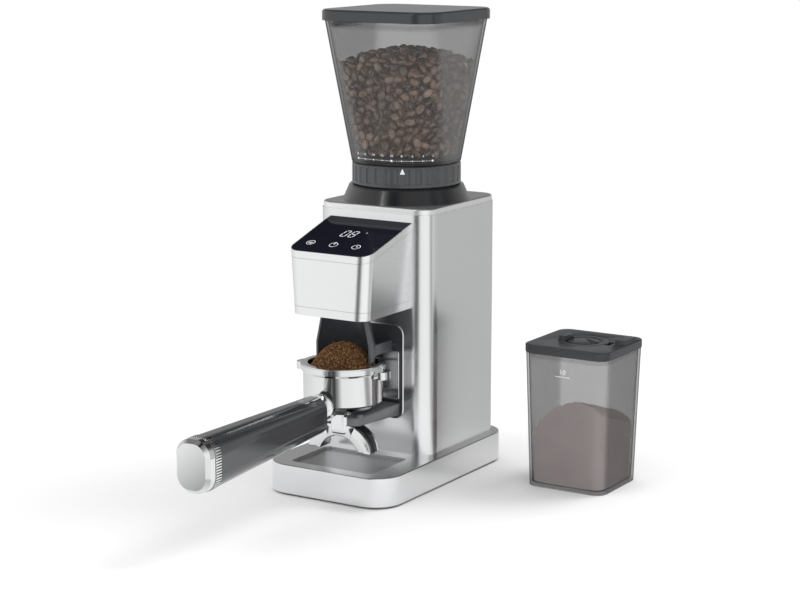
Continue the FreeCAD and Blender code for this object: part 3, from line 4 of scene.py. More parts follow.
import bmesh
import bpy
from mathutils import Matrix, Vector, noise
from mathutils.bvhtree import BVHTree


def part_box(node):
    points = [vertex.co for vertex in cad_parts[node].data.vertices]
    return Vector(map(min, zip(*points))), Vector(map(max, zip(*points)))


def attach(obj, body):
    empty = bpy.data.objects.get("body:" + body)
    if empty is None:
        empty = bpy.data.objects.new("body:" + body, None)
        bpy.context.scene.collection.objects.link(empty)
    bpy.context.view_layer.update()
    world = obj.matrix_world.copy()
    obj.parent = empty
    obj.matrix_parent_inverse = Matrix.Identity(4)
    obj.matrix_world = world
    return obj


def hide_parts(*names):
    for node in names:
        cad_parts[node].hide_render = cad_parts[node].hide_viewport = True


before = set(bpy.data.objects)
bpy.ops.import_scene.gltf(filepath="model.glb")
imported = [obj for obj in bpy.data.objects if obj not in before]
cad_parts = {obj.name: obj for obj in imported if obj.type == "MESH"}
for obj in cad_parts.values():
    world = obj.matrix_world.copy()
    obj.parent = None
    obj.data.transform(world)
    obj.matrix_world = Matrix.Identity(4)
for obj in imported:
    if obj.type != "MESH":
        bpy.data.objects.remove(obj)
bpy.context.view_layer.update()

# Studio: a pale floor without an edge, wide lamps at the rear right and front left, a small one for
# highlights, and a light room whose tone changes round the horizon, so that brushed and plated steel
# gets its bright and dark bands. The camera stands in front on the right and looks slightly down.

CAMERA_TURN = math.radians(31.78)
CAMERA_TILT = math.radians(11.05)
CAMERA_PLACE = (0.9525, -1.5517, 0.5065)
CAMERA_LENS = 93.98
ROOM_BANDS = (
    (-180, 0.80), (-150, 0.90), (-126, 0.98), (-110, 0.98), (-100, 0.22), (-82, 0.05), (-74, 0.40),
    (-66, 0.96), (-30, 1.04), (-12, 1.0), (-4, 0.40), (4, 0.40), (13, 0.80), (24, 0.62), (58, 0.54),
    (86, 0.54), (108, 0.38), (136, 0.38), (160, 0.72), (180, 0.80),
)
ROOM_PEAK = 1.2
DAYLIGHT = 0.92
OVERHEAD_SHADE, BEHIND_SHADE = 0.75, 0.85
FLOOR_HALF = 60
FLOOR_TONE = (0.93, 0.93, 0.935, 1)
FRONT_REACH = 0.25


class Wire:
    """An output socket of a node tree that can be used in sums; node() adds any other node."""

    def __init__(self, tree, socket=None):
        self.tree = tree
        self.socket = socket

    def node(self, kind, settings=None, inputs=None, output=0):
        made = self.tree.nodes.new(kind)
        for name, value in (settings or {}).items():
            if name == "stops":
                ramp = made.color_ramp
                while len(ramp.elements) < len(value):
                    ramp.elements.new(1.0)
                for element, (position, tone) in zip(ramp.elements, value):
                    element.position = position
                    element.color = tone if len(tone) == 4 else (*tone, 1.0)
            else:
                setattr(made, name, value)
        for name, value in (inputs or {}).items():
            if isinstance(value, Wire):
                self.tree.links.new(value.socket, made.inputs[name])
            else:
                made.inputs[name].default_value = value
        return Wire(self.tree, made.outputs[output])

    def maths(self, operation, *values):
        return self.node("ShaderNodeMath", {"operation": operation}, dict(enumerate(values)))

    def __add__(self, other):
        return self.maths("ADD", self, other)

    def __sub__(self, other):
        return self.maths("SUBTRACT", self, other)

    def __rsub__(self, other):
        return self.maths("SUBTRACT", other, self)

    def __mul__(self, other):
        return self.maths("MULTIPLY", self, other)

    def __truediv__(self, other):
        return self.maths("DIVIDE", self, other)

    def part(self, axis):
        return self.node("ShaderNodeSeparateXYZ", None, {0: self}, "XYZ".index(axis))

    def feed(self, socket):
        self.tree.links.new(self.socket, socket)


def band_round_room(direction):
    """The room's tone by compass direction, as a grey."""
    turn = direction.part("Y").maths("ARCTAN2", direction.part("Y"), direction.part("X"))
    stops = [((degrees + 180) / 360, (tone / ROOM_PEAK,) * 3) for degrees, tone in ROOM_BANDS]
    ring = turn.node("ShaderNodeValToRGB", {"stops": stops}, {0: turn / (2 * math.pi) + 0.5})
    return ring.part("X") * ROOM_PEAK


def rising(value, low, high, top=1.0):
    """Runs from 0 to the top while the value goes from low to high."""
    return value.node(
        "ShaderNodeMapRange", None, {0: value, "From Min": low, "From Max": high, "To Max": top})


scene = bpy.context.scene
scene.view_settings.view_transform = "Standard"

lens = bpy.data.cameras.new("camera")
lens.lens = CAMERA_LENS
lens.sensor_width = 36
lens.clip_end = 200
camera = bpy.data.objects.new("camera", lens)
camera.location = CAMERA_PLACE
camera.rotation_euler = (math.pi / 2 - CAMERA_TILT, 0, CAMERA_TURN)
scene.collection.objects.link(camera)
scene.camera = camera

room = bpy.data.worlds.new("room")
room.use_nodes = True
scene.world = room
sky = room.node_tree.nodes["Background"]
sky.inputs["Color"].default_value = (1, 1, 1, 1)
toward = Wire(room.node_tree).node("ShaderNodeTexCoord")
rays = toward.node("ShaderNodeLightPath")
glossy = Wire(room.node_tree, rays.socket.node.outputs["Is Glossy Ray"])
overhead = rising(toward.part("Z"), 0.3, 0.7, OVERHEAD_SHADE)
ceiling = rising(toward.part("Z"), 0.3, 0.5)
behind = rising(toward.part("Y"), 0.15, 0.4)
shown = band_round_room(toward) * (1 - overhead) * (1 - ceiling * behind * BEHIND_SHADE)
(glossy * shown + (1 - glossy) * DAYLIGHT).feed(sky.inputs["Strength"])

ground_mesh = bpy.data.meshes.new("floor")
corners = [(x * FLOOR_HALF, y * FLOOR_HALF, 0) for x, y in ((-1, -1), (1, -1), (1, 1), (-1, 1))]
ground_mesh.from_pydata(corners, [], [(0, 1, 2, 3)])
ground = bpy.data.objects.new("floor", ground_mesh)
scene.collection.objects.link(ground)
floor_paint = bpy.data.materials.new("floor_paint")
floor_paint.use_nodes = True
floor_tree = floor_paint.node_tree
floor_tree.nodes.remove(floor_tree.nodes["Principled BSDF"])
spot = Wire(floor_tree).node("ShaderNodeTexCoord", None, None, "Object")
light_path = spot.node("ShaderNodeLightPath").socket.node
lit = spot.node("ShaderNodeBsdfDiffuse", None, {"Color": FLOOR_TONE})
away = spot.node("ShaderNodeVectorMath", {"operation": "LENGTH"}, {0: spot}, "Value")
far = spot.node("ShaderNodeMapRange", {"interpolation_type": "SMOOTHSTEP"},
                {0: away, "From Min": 0.28, "From Max": 0.75})
white = spot.node("ShaderNodeEmission", None, {"Color": (1, 1, 1, 1)})
seen = spot.node("ShaderNodeMixShader", None, {0: far, 1: lit, 2: white})
mirrored = spot.node("ShaderNodeEmission", None, {"Strength": band_round_room(spot)})
on_gloss = Wire(floor_tree, light_path.outputs["Is Glossy Ray"])
in_front = rising(spot.part("Y"), -0.05, -0.2)
clear_of_part = rising(away - in_front * FRONT_REACH, 0.05, 0.2)
whole = spot.node("ShaderNodeMixShader", None, {0: on_gloss * clear_of_part, 1: seen, 2: mirrored})
whole.feed(floor_tree.nodes["Material Output"].inputs["Surface"])
ground_mesh.materials.append(floor_paint)

for name, place, aim, size, power in (
    ("rear_lamp", (0.75, 0.9, 1.5), (0, -0.05, 0.1), 0.8, 11),
    ("front_lamp", (-1.2, -1.5, 1.6), (0, 0, 0.2), 1.6, 9),
    ("spark_lamp", (-0.5, -1.9, 1.3), (0, 0, 0.33), 0.4, 2.5),
):
    lamp = bpy.data.lights.new(name, "AREA")
    lamp.energy = power
    lamp.size = size
    holder = bpy.data.objects.new(name, lamp)
    holder.location = place
    holder.rotation_euler = (Vector(aim) - Vector(place)).to_track_quat("-Z", "Y").to_euler()
    holder.visible_glossy = name == "spark_lamp"
    scene.collection.objects.link(holder)

# Base: a deep-drawn skirt of brushed stainless steel with a pressed well for the loose crumb tray,
# a moulded bottom plate under it, four screws and four soft rubber feet, and a rubber cord gland.


def new_finish(name):
    """A material, its shader and the object coordinates that its pattern reads."""
    material = bpy.data.materials.new(name)
    material.use_nodes = True
    shader = material.node_tree.nodes["Principled BSDF"]
    place = Wire(material.node_tree).node("ShaderNodeTexCoord", None, None, "Object")
    return material, shader, place


def grain_of(place, scale, stretch=(1, 1, 1), detail=4.0, roughness=0.6):
    """Fine noise, drawn out along the axes where the stretch is small."""
    stretched = place.node("ShaderNodeMapping", None, {"Vector": place, "Scale": stretch})
    return place.node(
        "ShaderNodeTexNoise", None,
        {"Vector": stretched, "Scale": scale, "Detail": detail, "Roughness": roughness})


def tint(factor, low, high):
    """A colour that runs from one tone to another."""
    return factor.node(
        "ShaderNodeMix", {"data_type": "RGBA"},
        {"Factor": factor, 6: (*low, 1), 7: (*high, 1)}, 2)


def roughen(height, shader, strength, depth):
    """Fine relief on the shader's normal."""
    relief = height.node(
        "ShaderNodeBump", None, {"Strength": strength, "Distance": depth, "Height": height})
    relief.feed(shader.inputs["Normal"])


def brushed_steel(name, grain, tone, dull):
    """Stainless sheet with fine brush lines along one direction."""
    material, shader, place = new_finish(name)
    lines = grain_of(place, 1.0, grain, 5.0, 0.7)
    cloud = grain_of(place, 14.0)
    shader.inputs["Metallic"].default_value = 1.0
    shade = lines * 0.7 + cloud * 0.3
    tint(shade, [c * 0.985 for c in tone], [min(1, c * 1.015) for c in tone]).feed(
        shader.inputs["Base Color"])
    (lines * 0.025 + cloud * 0.015 + (dull - 0.02)).feed(shader.inputs["Roughness"])
    roughen(lines, shader, 0.007, 0.0002)
    return material


def moulded(name, tone, dull, texture=1600.0, relief=0.06, coat=0.0, gloss=0.5):
    """Moulded plastic with a fine skin and slightly uneven gloss."""
    material, shader, place = new_finish(name)
    skin = grain_of(place, texture, (1, 1, 1), 2.0)
    cloud = grain_of(place, 30.0)
    tint(cloud, [c * 0.86 for c in tone], [min(1, c * 1.14) for c in tone]).feed(shader.inputs["Base Color"])
    (skin * 0.06 + cloud * 0.06 + (dull - 0.06)).feed(shader.inputs["Roughness"])
    shader.inputs["Coat Weight"].default_value = coat
    shader.inputs["Coat Roughness"].default_value = 0.04
    shader.inputs["Specular IOR Level"].default_value = gloss
    roughen(skin, shader, relief, 0.0001)
    return material


def dress(material, *nodes):
    """Gives CAD nodes a finish."""
    for node in nodes:
        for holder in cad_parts[node].material_slots:
            holder.material = material


STEEL_TONE = (0.80, 0.805, 0.81)
ALONG_BASE = (40, 40, 3600)
dress(brushed_steel("base_steel", ALONG_BASE, STEEL_TONE, 0.24), "base_skirt")
dress(brushed_steel("tray_steel", (2400, 90, 90), (0.5, 0.504, 0.51), 0.32), "crumb_tray")
dress(moulded("base_moulding", (0.03, 0.03, 0.032), 0.6), "base_plate")
dress(moulded("soft_rubber", (0.02, 0.02, 0.02), 0.75, 900.0, 0.15), "rubber_feet", "cable_gland")
dress(brushed_steel("zinc_screws", (900, 900, 900), (0.6, 0.6, 0.58), 0.35),
      "base_screws", "gearbox_screws")

# Tower: one folded shell of brushed stainless sheet with a drawn top cover, a black moulded frame
# inside, and the power board on studs behind it. The brush lines run up the sheet.

UP_TOWER = (3600, 3600, 25)
dress(brushed_steel("tower_steel", UP_TOWER, STEEL_TONE, 0.23), "tower_shell")
dress(brushed_steel("cover_steel", (90, 2400, 2400), (0.92, 0.925, 0.93), 0.4), "top_cover")
dress(moulded("frame_moulding", (0.12, 0.12, 0.13), 0.55),
      "inner_frame", "gearbox_case", "gearbox_lid", "motor_end_bell")
dress(moulded("circuit_laminate", (0.03, 0.16, 0.06), 0.4, 500.0, 0.2), "power_board", "control_board")

# Bay: a satin black moulded insert on the tower's front with a polished steel splash plate, and the
# dark grey moulded fork that the portafilter slides on.

dress(moulded("satin_black", (0.044, 0.047, 0.052), 0.34), "bay_frame", "display_module",
      "outlet_duct", "burr_carrier", "hopper_neck", "finger_guard", "impeller")
dress(brushed_steel("bay_steel", (1800, 60, 60), (0.58, 0.585, 0.59), 0.2), "bay_plate")
fork_moulding = moulded("fork_moulding", (0.15, 0.154, 0.162), 0.34)
EDGE_SEGMENTS, SHARPEST_LEFT = 3, math.radians(40)


def plain_mesh(name, verts, faces):
    """A mesh from points and faces."""
    mesh = bpy.data.meshes.new(name)
    mesh.from_pydata([tuple(v) for v in verts], [], [tuple(f) for f in faces])
    mesh.update()
    return mesh


def new_piece(name, verts, faces, material, body, slot, smooth=True):
    """A mesh piece in place on its body."""
    mesh = plain_mesh(name, verts, faces)
    if smooth:
        mesh.shade_smooth()
    mesh.materials.append(material)
    piece = bpy.data.objects.new(name, mesh)
    scene.collection.objects.link(piece)
    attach(piece, body)
    return piece


def softened(name, node, material, body, width, reshape=None):
    """A CAD node with rounded edges: its faces are joined, shaped where asked, and bevelled."""
    made = bmesh.new()
    made.from_mesh(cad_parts[node].data)
    bmesh.ops.remove_doubles(made, verts=made.verts, dist=1e-6)
    if reshape:
        for vert in made.verts:
            vert.co = reshape(vert.co)
    mesh = bpy.data.meshes.new(name)
    made.to_mesh(mesh)
    made.free()
    mesh.materials.clear()
    mesh.materials.append(material)
    piece = bpy.data.objects.new(name, mesh)
    scene.collection.objects.link(piece)
    edge = piece.modifiers.new("edge", "BEVEL")
    edge.width = width
    edge.segments = EDGE_SEGMENTS
    edge.limit_method = "ANGLE"
    edge.angle_limit = SHARPEST_LEFT
    edge.harden_normals = True
    edge.use_clamp_overlap = False
    mesh.shade_smooth()
    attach(piece, body)
    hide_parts(node)
    return piece


fork_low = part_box("portafilter_fork")[0]
FORK_TIP_RISE, ARM_START = 0.0038, -0.075


def tapered_arm(point):
    """The fork's underside rises towards the tips of its arms."""
    share = min(1, max(0, (ARM_START - point.y) / (ARM_START - fork_low[1])))
    low = fork_low[2] + FORK_TIP_RISE * share
    return Vector((point.x, point.y, max(point.z, low)))


softened("fork_arms", "portafilter_fork", fork_moulding, "fork", 0.0006, tapered_arm)
BEAD_SIDES, CORNER_STEPS = 8, 8


def bead(name, half, low, high, corner, y, radius, material):
    """A fine bright rim along an upright rectangle with round corners."""
    track = []
    for quarter, (sx, sz) in enumerate(((1, 1), (-1, 1), (-1, -1), (1, -1))):
        centre = Vector((sx * (half - corner), y, high - corner if sz > 0 else low + corner))
        for i in range(CORNER_STEPS + 1):
            angle = (quarter + i / CORNER_STEPS) * math.pi / 2
            out = Vector((math.cos(angle), 0, math.sin(angle)))
            track.append((centre + out * corner, out))
    verts, faces = [], []
    for spot_on, out in track:
        for k in range(BEAD_SIDES):
            angle = 2 * math.pi * k / BEAD_SIDES
            verts.append(spot_on + radius * (out * math.cos(angle) + Vector((0, math.sin(angle), 0))))
    for i in range(len(track)):
        here, there = i * BEAD_SIDES, (i + 1) % len(track) * BEAD_SIDES
        for k in range(BEAD_SIDES):
            n = (k + 1) % BEAD_SIDES
            faces.append((here + k, here + n, there + n, there + k))
    return new_piece(name, verts, faces, material, "housing", "bay_steel")


rim_steel = brushed_steel("rim_steel", (400, 400, 400), (0.86, 0.865, 0.87), 0.14)
bead("bay_rim", 0.0322, 0.0599, 0.1415, 0.008, -0.0617, 0.0006, rim_steel)
bead("plate_rim", 0.0292, 0.0773, 0.1191, 0.0015, -0.0637, 0.00045, rim_steel)

# Head: three bands of brushed stainless steel, with a black glass panel let into the slanted top
# frame. White touch marks and the grind time are lit from behind through the glass.

head_steel = brushed_steel("head_steel", (90, 90, 2600), (0.86, 0.865, 0.87), 0.27)
dress(head_steel, "head_shell", "head_bottom_cover", "head_top_frame")
panel_glass, glass_shader, glass_place = new_finish("panel_glass")
tint(grain_of(glass_place, 25.0), (0.006, 0.0065, 0.012), (0.011, 0.012, 0.02)).feed(
    glass_shader.inputs["Base Color"])
(grain_of(glass_place, 60.0) * 0.05 + 0.03).feed(glass_shader.inputs["Roughness"])
glass_shader.inputs["Specular IOR Level"].default_value = 0.10
dress(panel_glass, "control_glass")


def surface_of(node):
    """A search tree of a CAD node's faces, for points that lie on it."""
    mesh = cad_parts[node].data
    return BVHTree.FromPolygons(
        [v.co.copy() for v in mesh.vertices], [tuple(p.vertices) for p in mesh.polygons])


def evaluated_mesh(holder):
    """What an object's curve or modifier makes, as a mesh of its own."""
    bpy.context.view_layer.update()
    graph = bpy.context.evaluated_depsgraph_get()
    return bpy.data.meshes.new_from_object(holder.evaluated_get(graph))


def circle(centre, radius, steps):
    """Points round a circle."""
    turns = [2 * math.pi * i / steps for i in range(steps)]
    return [(centre[0] + radius * math.cos(turn), centre[1] + radius * math.sin(turn)) for turn in turns]


class Print:
    """Flat marks drawn in a plane: strokes, figures and dots that land on a surface."""

    LIFT = 0.00006
    SIZE_BY_HEIGHT = 1.4

    def __init__(self):
        self.verts = []
        self.faces = []

    def add(self, points, faces, land):
        start = len(self.verts)
        self.verts += [land(x, y) for x, y in points]
        self.faces += [[start + i for i in face] for face in faces]

    def stroke(self, points, width, land, closed=False):
        """A ribbon of even width along a line of points."""
        line = [Vector(p) for p in points]
        count = len(line)
        edges = []
        for i, point in enumerate(line):
            before = line[(i - 1) % count] if closed or i else point
            after = line[(i + 1) % count] if closed or i < count - 1 else point
            along = (after - before).normalized()
            side = Vector((-along.y, along.x)) * width / 2
            edges += [point - side, point + side]
        spans = count if closed else count - 1
        faces = []
        for i in range(spans):
            here, there = 2 * i, 2 * ((i + 1) % count)
            faces.append((here, there, there + 1, here + 1))
        self.add(edges, faces, land)

    def ring(self, centre, radius, width, land, steps=28):
        self.stroke(circle(centre, radius, steps), width, land, True)

    def dot(self, centre, radius, land, sides=12):
        self.add(circle(centre, radius, sides), [range(sides)], land)

    def words(self, text, height, centre, land):
        """Plain figures or letters as flat faces."""
        curve = bpy.data.curves.new("letters", "FONT")
        curve.body = text
        curve.size = height * self.SIZE_BY_HEIGHT
        curve.align_x = "CENTER"
        curve.align_y = "CENTER"
        curve.resolution_u = 3
        holder = bpy.data.objects.new("letters", curve)
        scene.collection.objects.link(holder)
        mesh = evaluated_mesh(holder)
        points = [(centre[0] + v.co.x, centre[1] + v.co.y) for v in mesh.vertices]
        self.add(points, [tuple(p.vertices) for p in mesh.polygons], land)
        bpy.data.objects.remove(holder)
        bpy.data.curves.remove(curve)
        bpy.data.meshes.remove(mesh)


glass_faces = surface_of("control_glass")


def on_glass(x, y):
    """A point on the glass's top face; x and y are seen from above."""
    hit, normal, _, _ = glass_faces.ray_cast(Vector((x, y, 1)), Vector((0, 0, -1)))
    return hit + normal * Print.LIFT


SEGMENTS = {"0": "abcdef", "8": "abcdefg"}
SEGMENT_LINES = {
    "a": ((0, 2), (1, 2)), "b": ((1, 2), (1, 1)), "c": ((1, 1), (1, 0)), "d": ((1, 0), (0, 0)),
    "e": ((0, 0), (0, 1)), "f": ((0, 1), (0, 2)), "g": ((0, 1), (1, 1)),
}
FIGURE_WIDTH, FIGURE_HALF, FIGURE_LEAN = 0.0048, 0.0054, 0.16
FIGURE_FOOT, FIGURE_GAP, FIGURE_STROKE = -0.0973, 0.0006, 0.0007
marks = Print()
for figure, left in (("0", -0.0092), ("8", -0.0012)):
    for segment in SEGMENTS[figure]:
        line = []
        for across, up in SEGMENT_LINES[segment]:
            line.append(Vector((left + across * FIGURE_WIDTH + up * FIGURE_HALF * FIGURE_LEAN,
                                FIGURE_FOOT + up * FIGURE_HALF)))
        gap = (line[1] - line[0]).normalized() * FIGURE_GAP
        marks.stroke((line[0] + gap, line[1] - gap), FIGURE_STROKE, on_glass)
marks.words("s", 0.0024, (0.0125, -0.0872), on_glass)
ICON_Y, ICON_RADIUS, ICON_RING = -0.1135, 0.0037, 0.00048
DOSE_X, POWER_X, CLOCK_X = -0.027, -0.004, 0.0185
for x in (DOSE_X, POWER_X, CLOCK_X):
    marks.ring((x, ICON_Y), ICON_RADIUS, ICON_RING, on_glass)
for half, up in ((0.0023, 0.0004), (0.0016, -0.0014)):
    marks.stroke(((DOSE_X - half, ICON_Y + up), (DOSE_X + half, ICON_Y + up)), 0.0008, on_glass)
marks.stroke(((POWER_X, ICON_Y + 0.0046), (POWER_X, ICON_Y + 0.0004)), 0.0007, on_glass)
marks.stroke(((CLOCK_X, ICON_Y + 0.0022), (CLOCK_X, ICON_Y), (CLOCK_X + 0.0018, ICON_Y)), 0.0006, on_glass)
lamp_white, lamp_shader, lamp_place = new_finish("lit_white")
tint(grain_of(lamp_place, 300.0), (0.78, 0.8, 0.84), (0.92, 0.94, 0.97)).feed(
    lamp_shader.inputs["Base Color"])
lamp_shader.inputs["Emission Color"].default_value = (0.9, 0.95, 1.0, 1)
lamp_shader.inputs["Emission Strength"].default_value = 0.35
new_piece("panel_marks", marks.verts, marks.faces, lamp_white, "housing", "panel_glass", False)

# Grounds path: a black duct through the head and a half-round guard of dark smoked plastic that
# keeps the falling coffee over the basket.

dress(moulded("guard_moulding", (0.07, 0.075, 0.085), 0.24, 900.0, 0.03), "chute_guard")

# Drive and burrs, hidden inside the tower: die-cast chamber, hardened burrs on a steel shaft in
# bronze bushes, nylon gears, and a plated motor with a laminated core.

dress(brushed_steel("cast_aluminium", (500, 500, 500), (0.6, 0.6, 0.61), 0.5), "burr_housing")
dress(brushed_steel("sintered_bronze", (800, 800, 800), (0.6, 0.42, 0.2), 0.4),
      "shaft_bushes", "motor_pinion")
dress(brushed_steel("burr_steel", (700, 700, 1500), (0.5, 0.5, 0.51), 0.3),
      "burr_shaft", "inner_burr", "burr_nut", "outer_burr", "idler_pin", "motor_shaft")
dress(moulded("natural_nylon", (0.8, 0.78, 0.7), 0.45), "drive_gear", "idler_gear")
dress(brushed_steel("motor_can_steel", (300, 300, 900), (0.35, 0.35, 0.36), 0.4), "motor_can")
core, core_shader, core_place = new_finish("wound_core")
sheets = core_place.node(
    "ShaderNodeTexWave", {"bands_direction": "Z"}, {"Vector": core_place, "Scale": 700.0})
tint(sheets, (0.16, 0.09, 0.05), (0.42, 0.3, 0.22)).feed(core_shader.inputs["Base Color"])
(sheets * 0.2 + 0.4).feed(core_shader.inputs["Roughness"])
dress(core, "motor_armature")

# Collar and setting ring: a gloss black collar on the top cover, and a satin charcoal ring with
# shallow flutes. A white triangle printed on one land points at the scale.

dress(moulded("gloss_collar", (0.013, 0.0135, 0.015), 0.2, 700.0, 0.02, 0.35), "hopper_collar")
dress(moulded("ring_moulding", (0.066, 0.069, 0.072), 0.32, 1500.0, 0.05), "grind_ring")
print_white, print_shader, print_place = new_finish("print_white")
tint(grain_of(print_place, 700.0), (0.82, 0.82, 0.82), (0.95, 0.95, 0.95)).feed(
    print_shader.inputs["Base Color"])
print_shader.inputs["Roughness"].default_value = 0.5
AXIS_Y = -0.0035
WELL_OUTSIDE = 0.2


def wrapped(faces, level):
    """Lands marks on a body of revolution or a hopper wall: x runs round it, y runs up it."""

    def land(x, y):
        turn = x - math.pi / 2
        out = Vector((math.cos(turn), math.sin(turn), 0))
        start = Vector((0, AXIS_Y, level + y)) + out * WELL_OUTSIDE
        hit, normal, _, _ = faces.ray_cast(start, -out)
        return hit + normal * Print.LIFT

    return land


POINTER_TURN = math.radians(27.4)
POINTER_HALF, POINTER_TALL, POINTER_ROWS = 0.046, 0.0048, 14
POINTER_TAPER, POINTER_DROP = 0.96, 0.0014
pointer = Print()
pointer_spots, pointer_cells = [], []
for i in range(POINTER_ROWS + 1):
    share = i / POINTER_ROWS
    for k in range(POINTER_ROWS + 1):
        spread = POINTER_HALF * (1 - POINTER_TAPER * share) * (2 * k / POINTER_ROWS - 1)
        pointer_spots.append((POINTER_TURN + spread, POINTER_TALL * (share - 1)))
for i in range(POINTER_ROWS):
    for k in range(POINTER_ROWS):
        a = i * (POINTER_ROWS + 1) + k
        pointer_cells.append((a, a + 1, a + POINTER_ROWS + 2, a + POINTER_ROWS + 1))
RING_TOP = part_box("grind_ring")[1][2]
round_ring = wrapped(surface_of("grind_ring"), RING_TOP - POINTER_DROP)
pointer.add(pointer_spots, pointer_cells, round_ring)
new_piece("ring_pointer", pointer.verts, pointer.faces, print_white, "setting_ring", "ring_plastic", False)

# Hopper: one moulded funnel of smoked clear plastic, square with round corners, that plugs into
# the burr carrier. A white scale of dots and figures is printed round its foot.


def smoked(name, tone, cover, dull, rise=1.1, bend=3.0, painted_slant_shading=((0.0, 1.0), (1.0, 0.15))):
    """Smoked clear plastic: a face holds back more light the more it is seen aslant.

    The share of the tone is given by slant, from a face seen square on (0) to its edge (1): the smoke tint
    with painted light on it, falling towards the edges as painted shade, and rising where the stops rise as a
    painted sheen.
    """
    material, shader, place = new_finish(name)
    cloud = grain_of(place, 20.0)
    slant = place.node("ShaderNodeLayerWeight", None, {"Blend": 0.5}, "Facing")
    stops = [(position, [c * share for c in tone]) for position, share in painted_slant_shading]
    # Painted light: the base colour darkens as a face turns aslant, a painted shade on the edges.
    slant.node("ShaderNodeValToRGB", {"stops": stops}, {0: slant}).feed(shader.inputs["Base Color"])
    (cloud * 0.04 + (dull - 0.02)).feed(shader.inputs["Roughness"])
    held_back = slant.maths("POWER", slant, bend) * rise
    (held_back + cloud * 0.05 + (cover - 0.025)).feed(shader.inputs["Alpha"])
    shader.inputs["Specular IOR Level"].default_value = 0.16
    shader.inputs["IOR"].default_value = 1.08
    return material


# The hopper's tone is lightest on faces seen partly aslant, a painted sheen, and near black at its edges,
# painted shade.
HOPPER_PAINTED_SLANT_SHADING = ((0.0, 0.62), (0.2, 0.62), (0.42, 1.0), (0.6, 0.85), (0.78, 0.15), (1.0, 0.05))
dress(smoked("smoked_hopper", (0.2, 0.198, 0.197), 0.25, 0.08, 0.9, 2.0, HOPPER_PAINTED_SLANT_SHADING), "hopper_body")
hopper_low, hopper_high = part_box("hopper_body")
SCALE_RISE, HOPPER_ROUND = 0.0045, 0.047
SCALE_START, SCALE_STEP = math.radians(-27), math.radians(10.75)
SCALE_COUNT, COARSEST, FINE_STEPS = 9, 18, 6
BIG_DOT, DOT, FINE_DOT = 0.0010, 0.0006, 0.00034
scale_marks = Print()
around_foot = wrapped(surface_of("hopper_body"), hopper_low[2] + SCALE_RISE)
for i in range(SCALE_COUNT):
    turn = SCALE_START + SCALE_STEP * i
    big = i % 4 == 0

    def at_turn(x, y, turn=turn):
        return around_foot(turn + x / HOPPER_ROUND, y)

    scale_marks.dot((0, 0), BIG_DOT if big else DOT, at_turn)
    scale_marks.words(str(COARSEST - 2 * i), 0.0021, (0, 0.0042), at_turn)
    if i < SCALE_COUNT - 1:
        for k in range(1, FINE_STEPS):
            scale_marks.dot((SCALE_STEP * HOPPER_ROUND * k / FINE_STEPS, 0), FINE_DOT, at_turn, 8)
new_piece("hopper_scale", scale_marks.verts, scale_marks.faces, print_white, "hopper", "smoked_hopper", False)

# Beans: medium-dark roasted coffee beans that fill the hopper to a low dome, each with a rounded
# back, a flatter face and a crease.

BEAN_LONG, BEAN_WIDE, BEAN_THICK = 0.0048, 0.0036, 0.0029
BEAN_SIDES, BEAN_RINGS = 12, 7
FLAT_FACE, CREASE = 0.6, 0.3


def rounded_square(half, corner, per_corner=6):
    """Points round a square with round corners, anticlockwise."""
    points = []
    for quarter in range(4):
        turn = quarter * math.pi / 2
        centre = Vector((half - corner, half - corner))
        for i in range(per_corner + 1):
            angle = i / per_corner * math.pi / 2
            p = centre + corner * Vector((math.cos(angle), math.sin(angle)))
            points.append(Vector((p.x * math.cos(turn) - p.y * math.sin(turn),
                                  p.x * math.sin(turn) + p.y * math.cos(turn))))
    return points


def stacked(rings, cap_low=True, cap_high=True):
    """A skin through rings of points that have the same count."""
    count = len(rings[0])
    verts = [p for ring in rings for p in ring]
    faces = []
    for level in range(len(rings) - 1):
        low, high = level * count, (level + 1) * count
        for i in range(count):
            j = (i + 1) % count
            faces.append((low + i, low + j, high + j, high + i))
    if cap_low:
        faces.append(tuple(reversed(range(count))))
    if cap_high:
        start = (len(rings) - 1) * count
        faces.append(tuple(range(start, start + count)))
    return verts, faces


MOST_PER_AREA = 4e7
LEAST_TURN, MOST_TURN = (-0.6, -0.4, 0), (3.74, 0.4, 6.28)


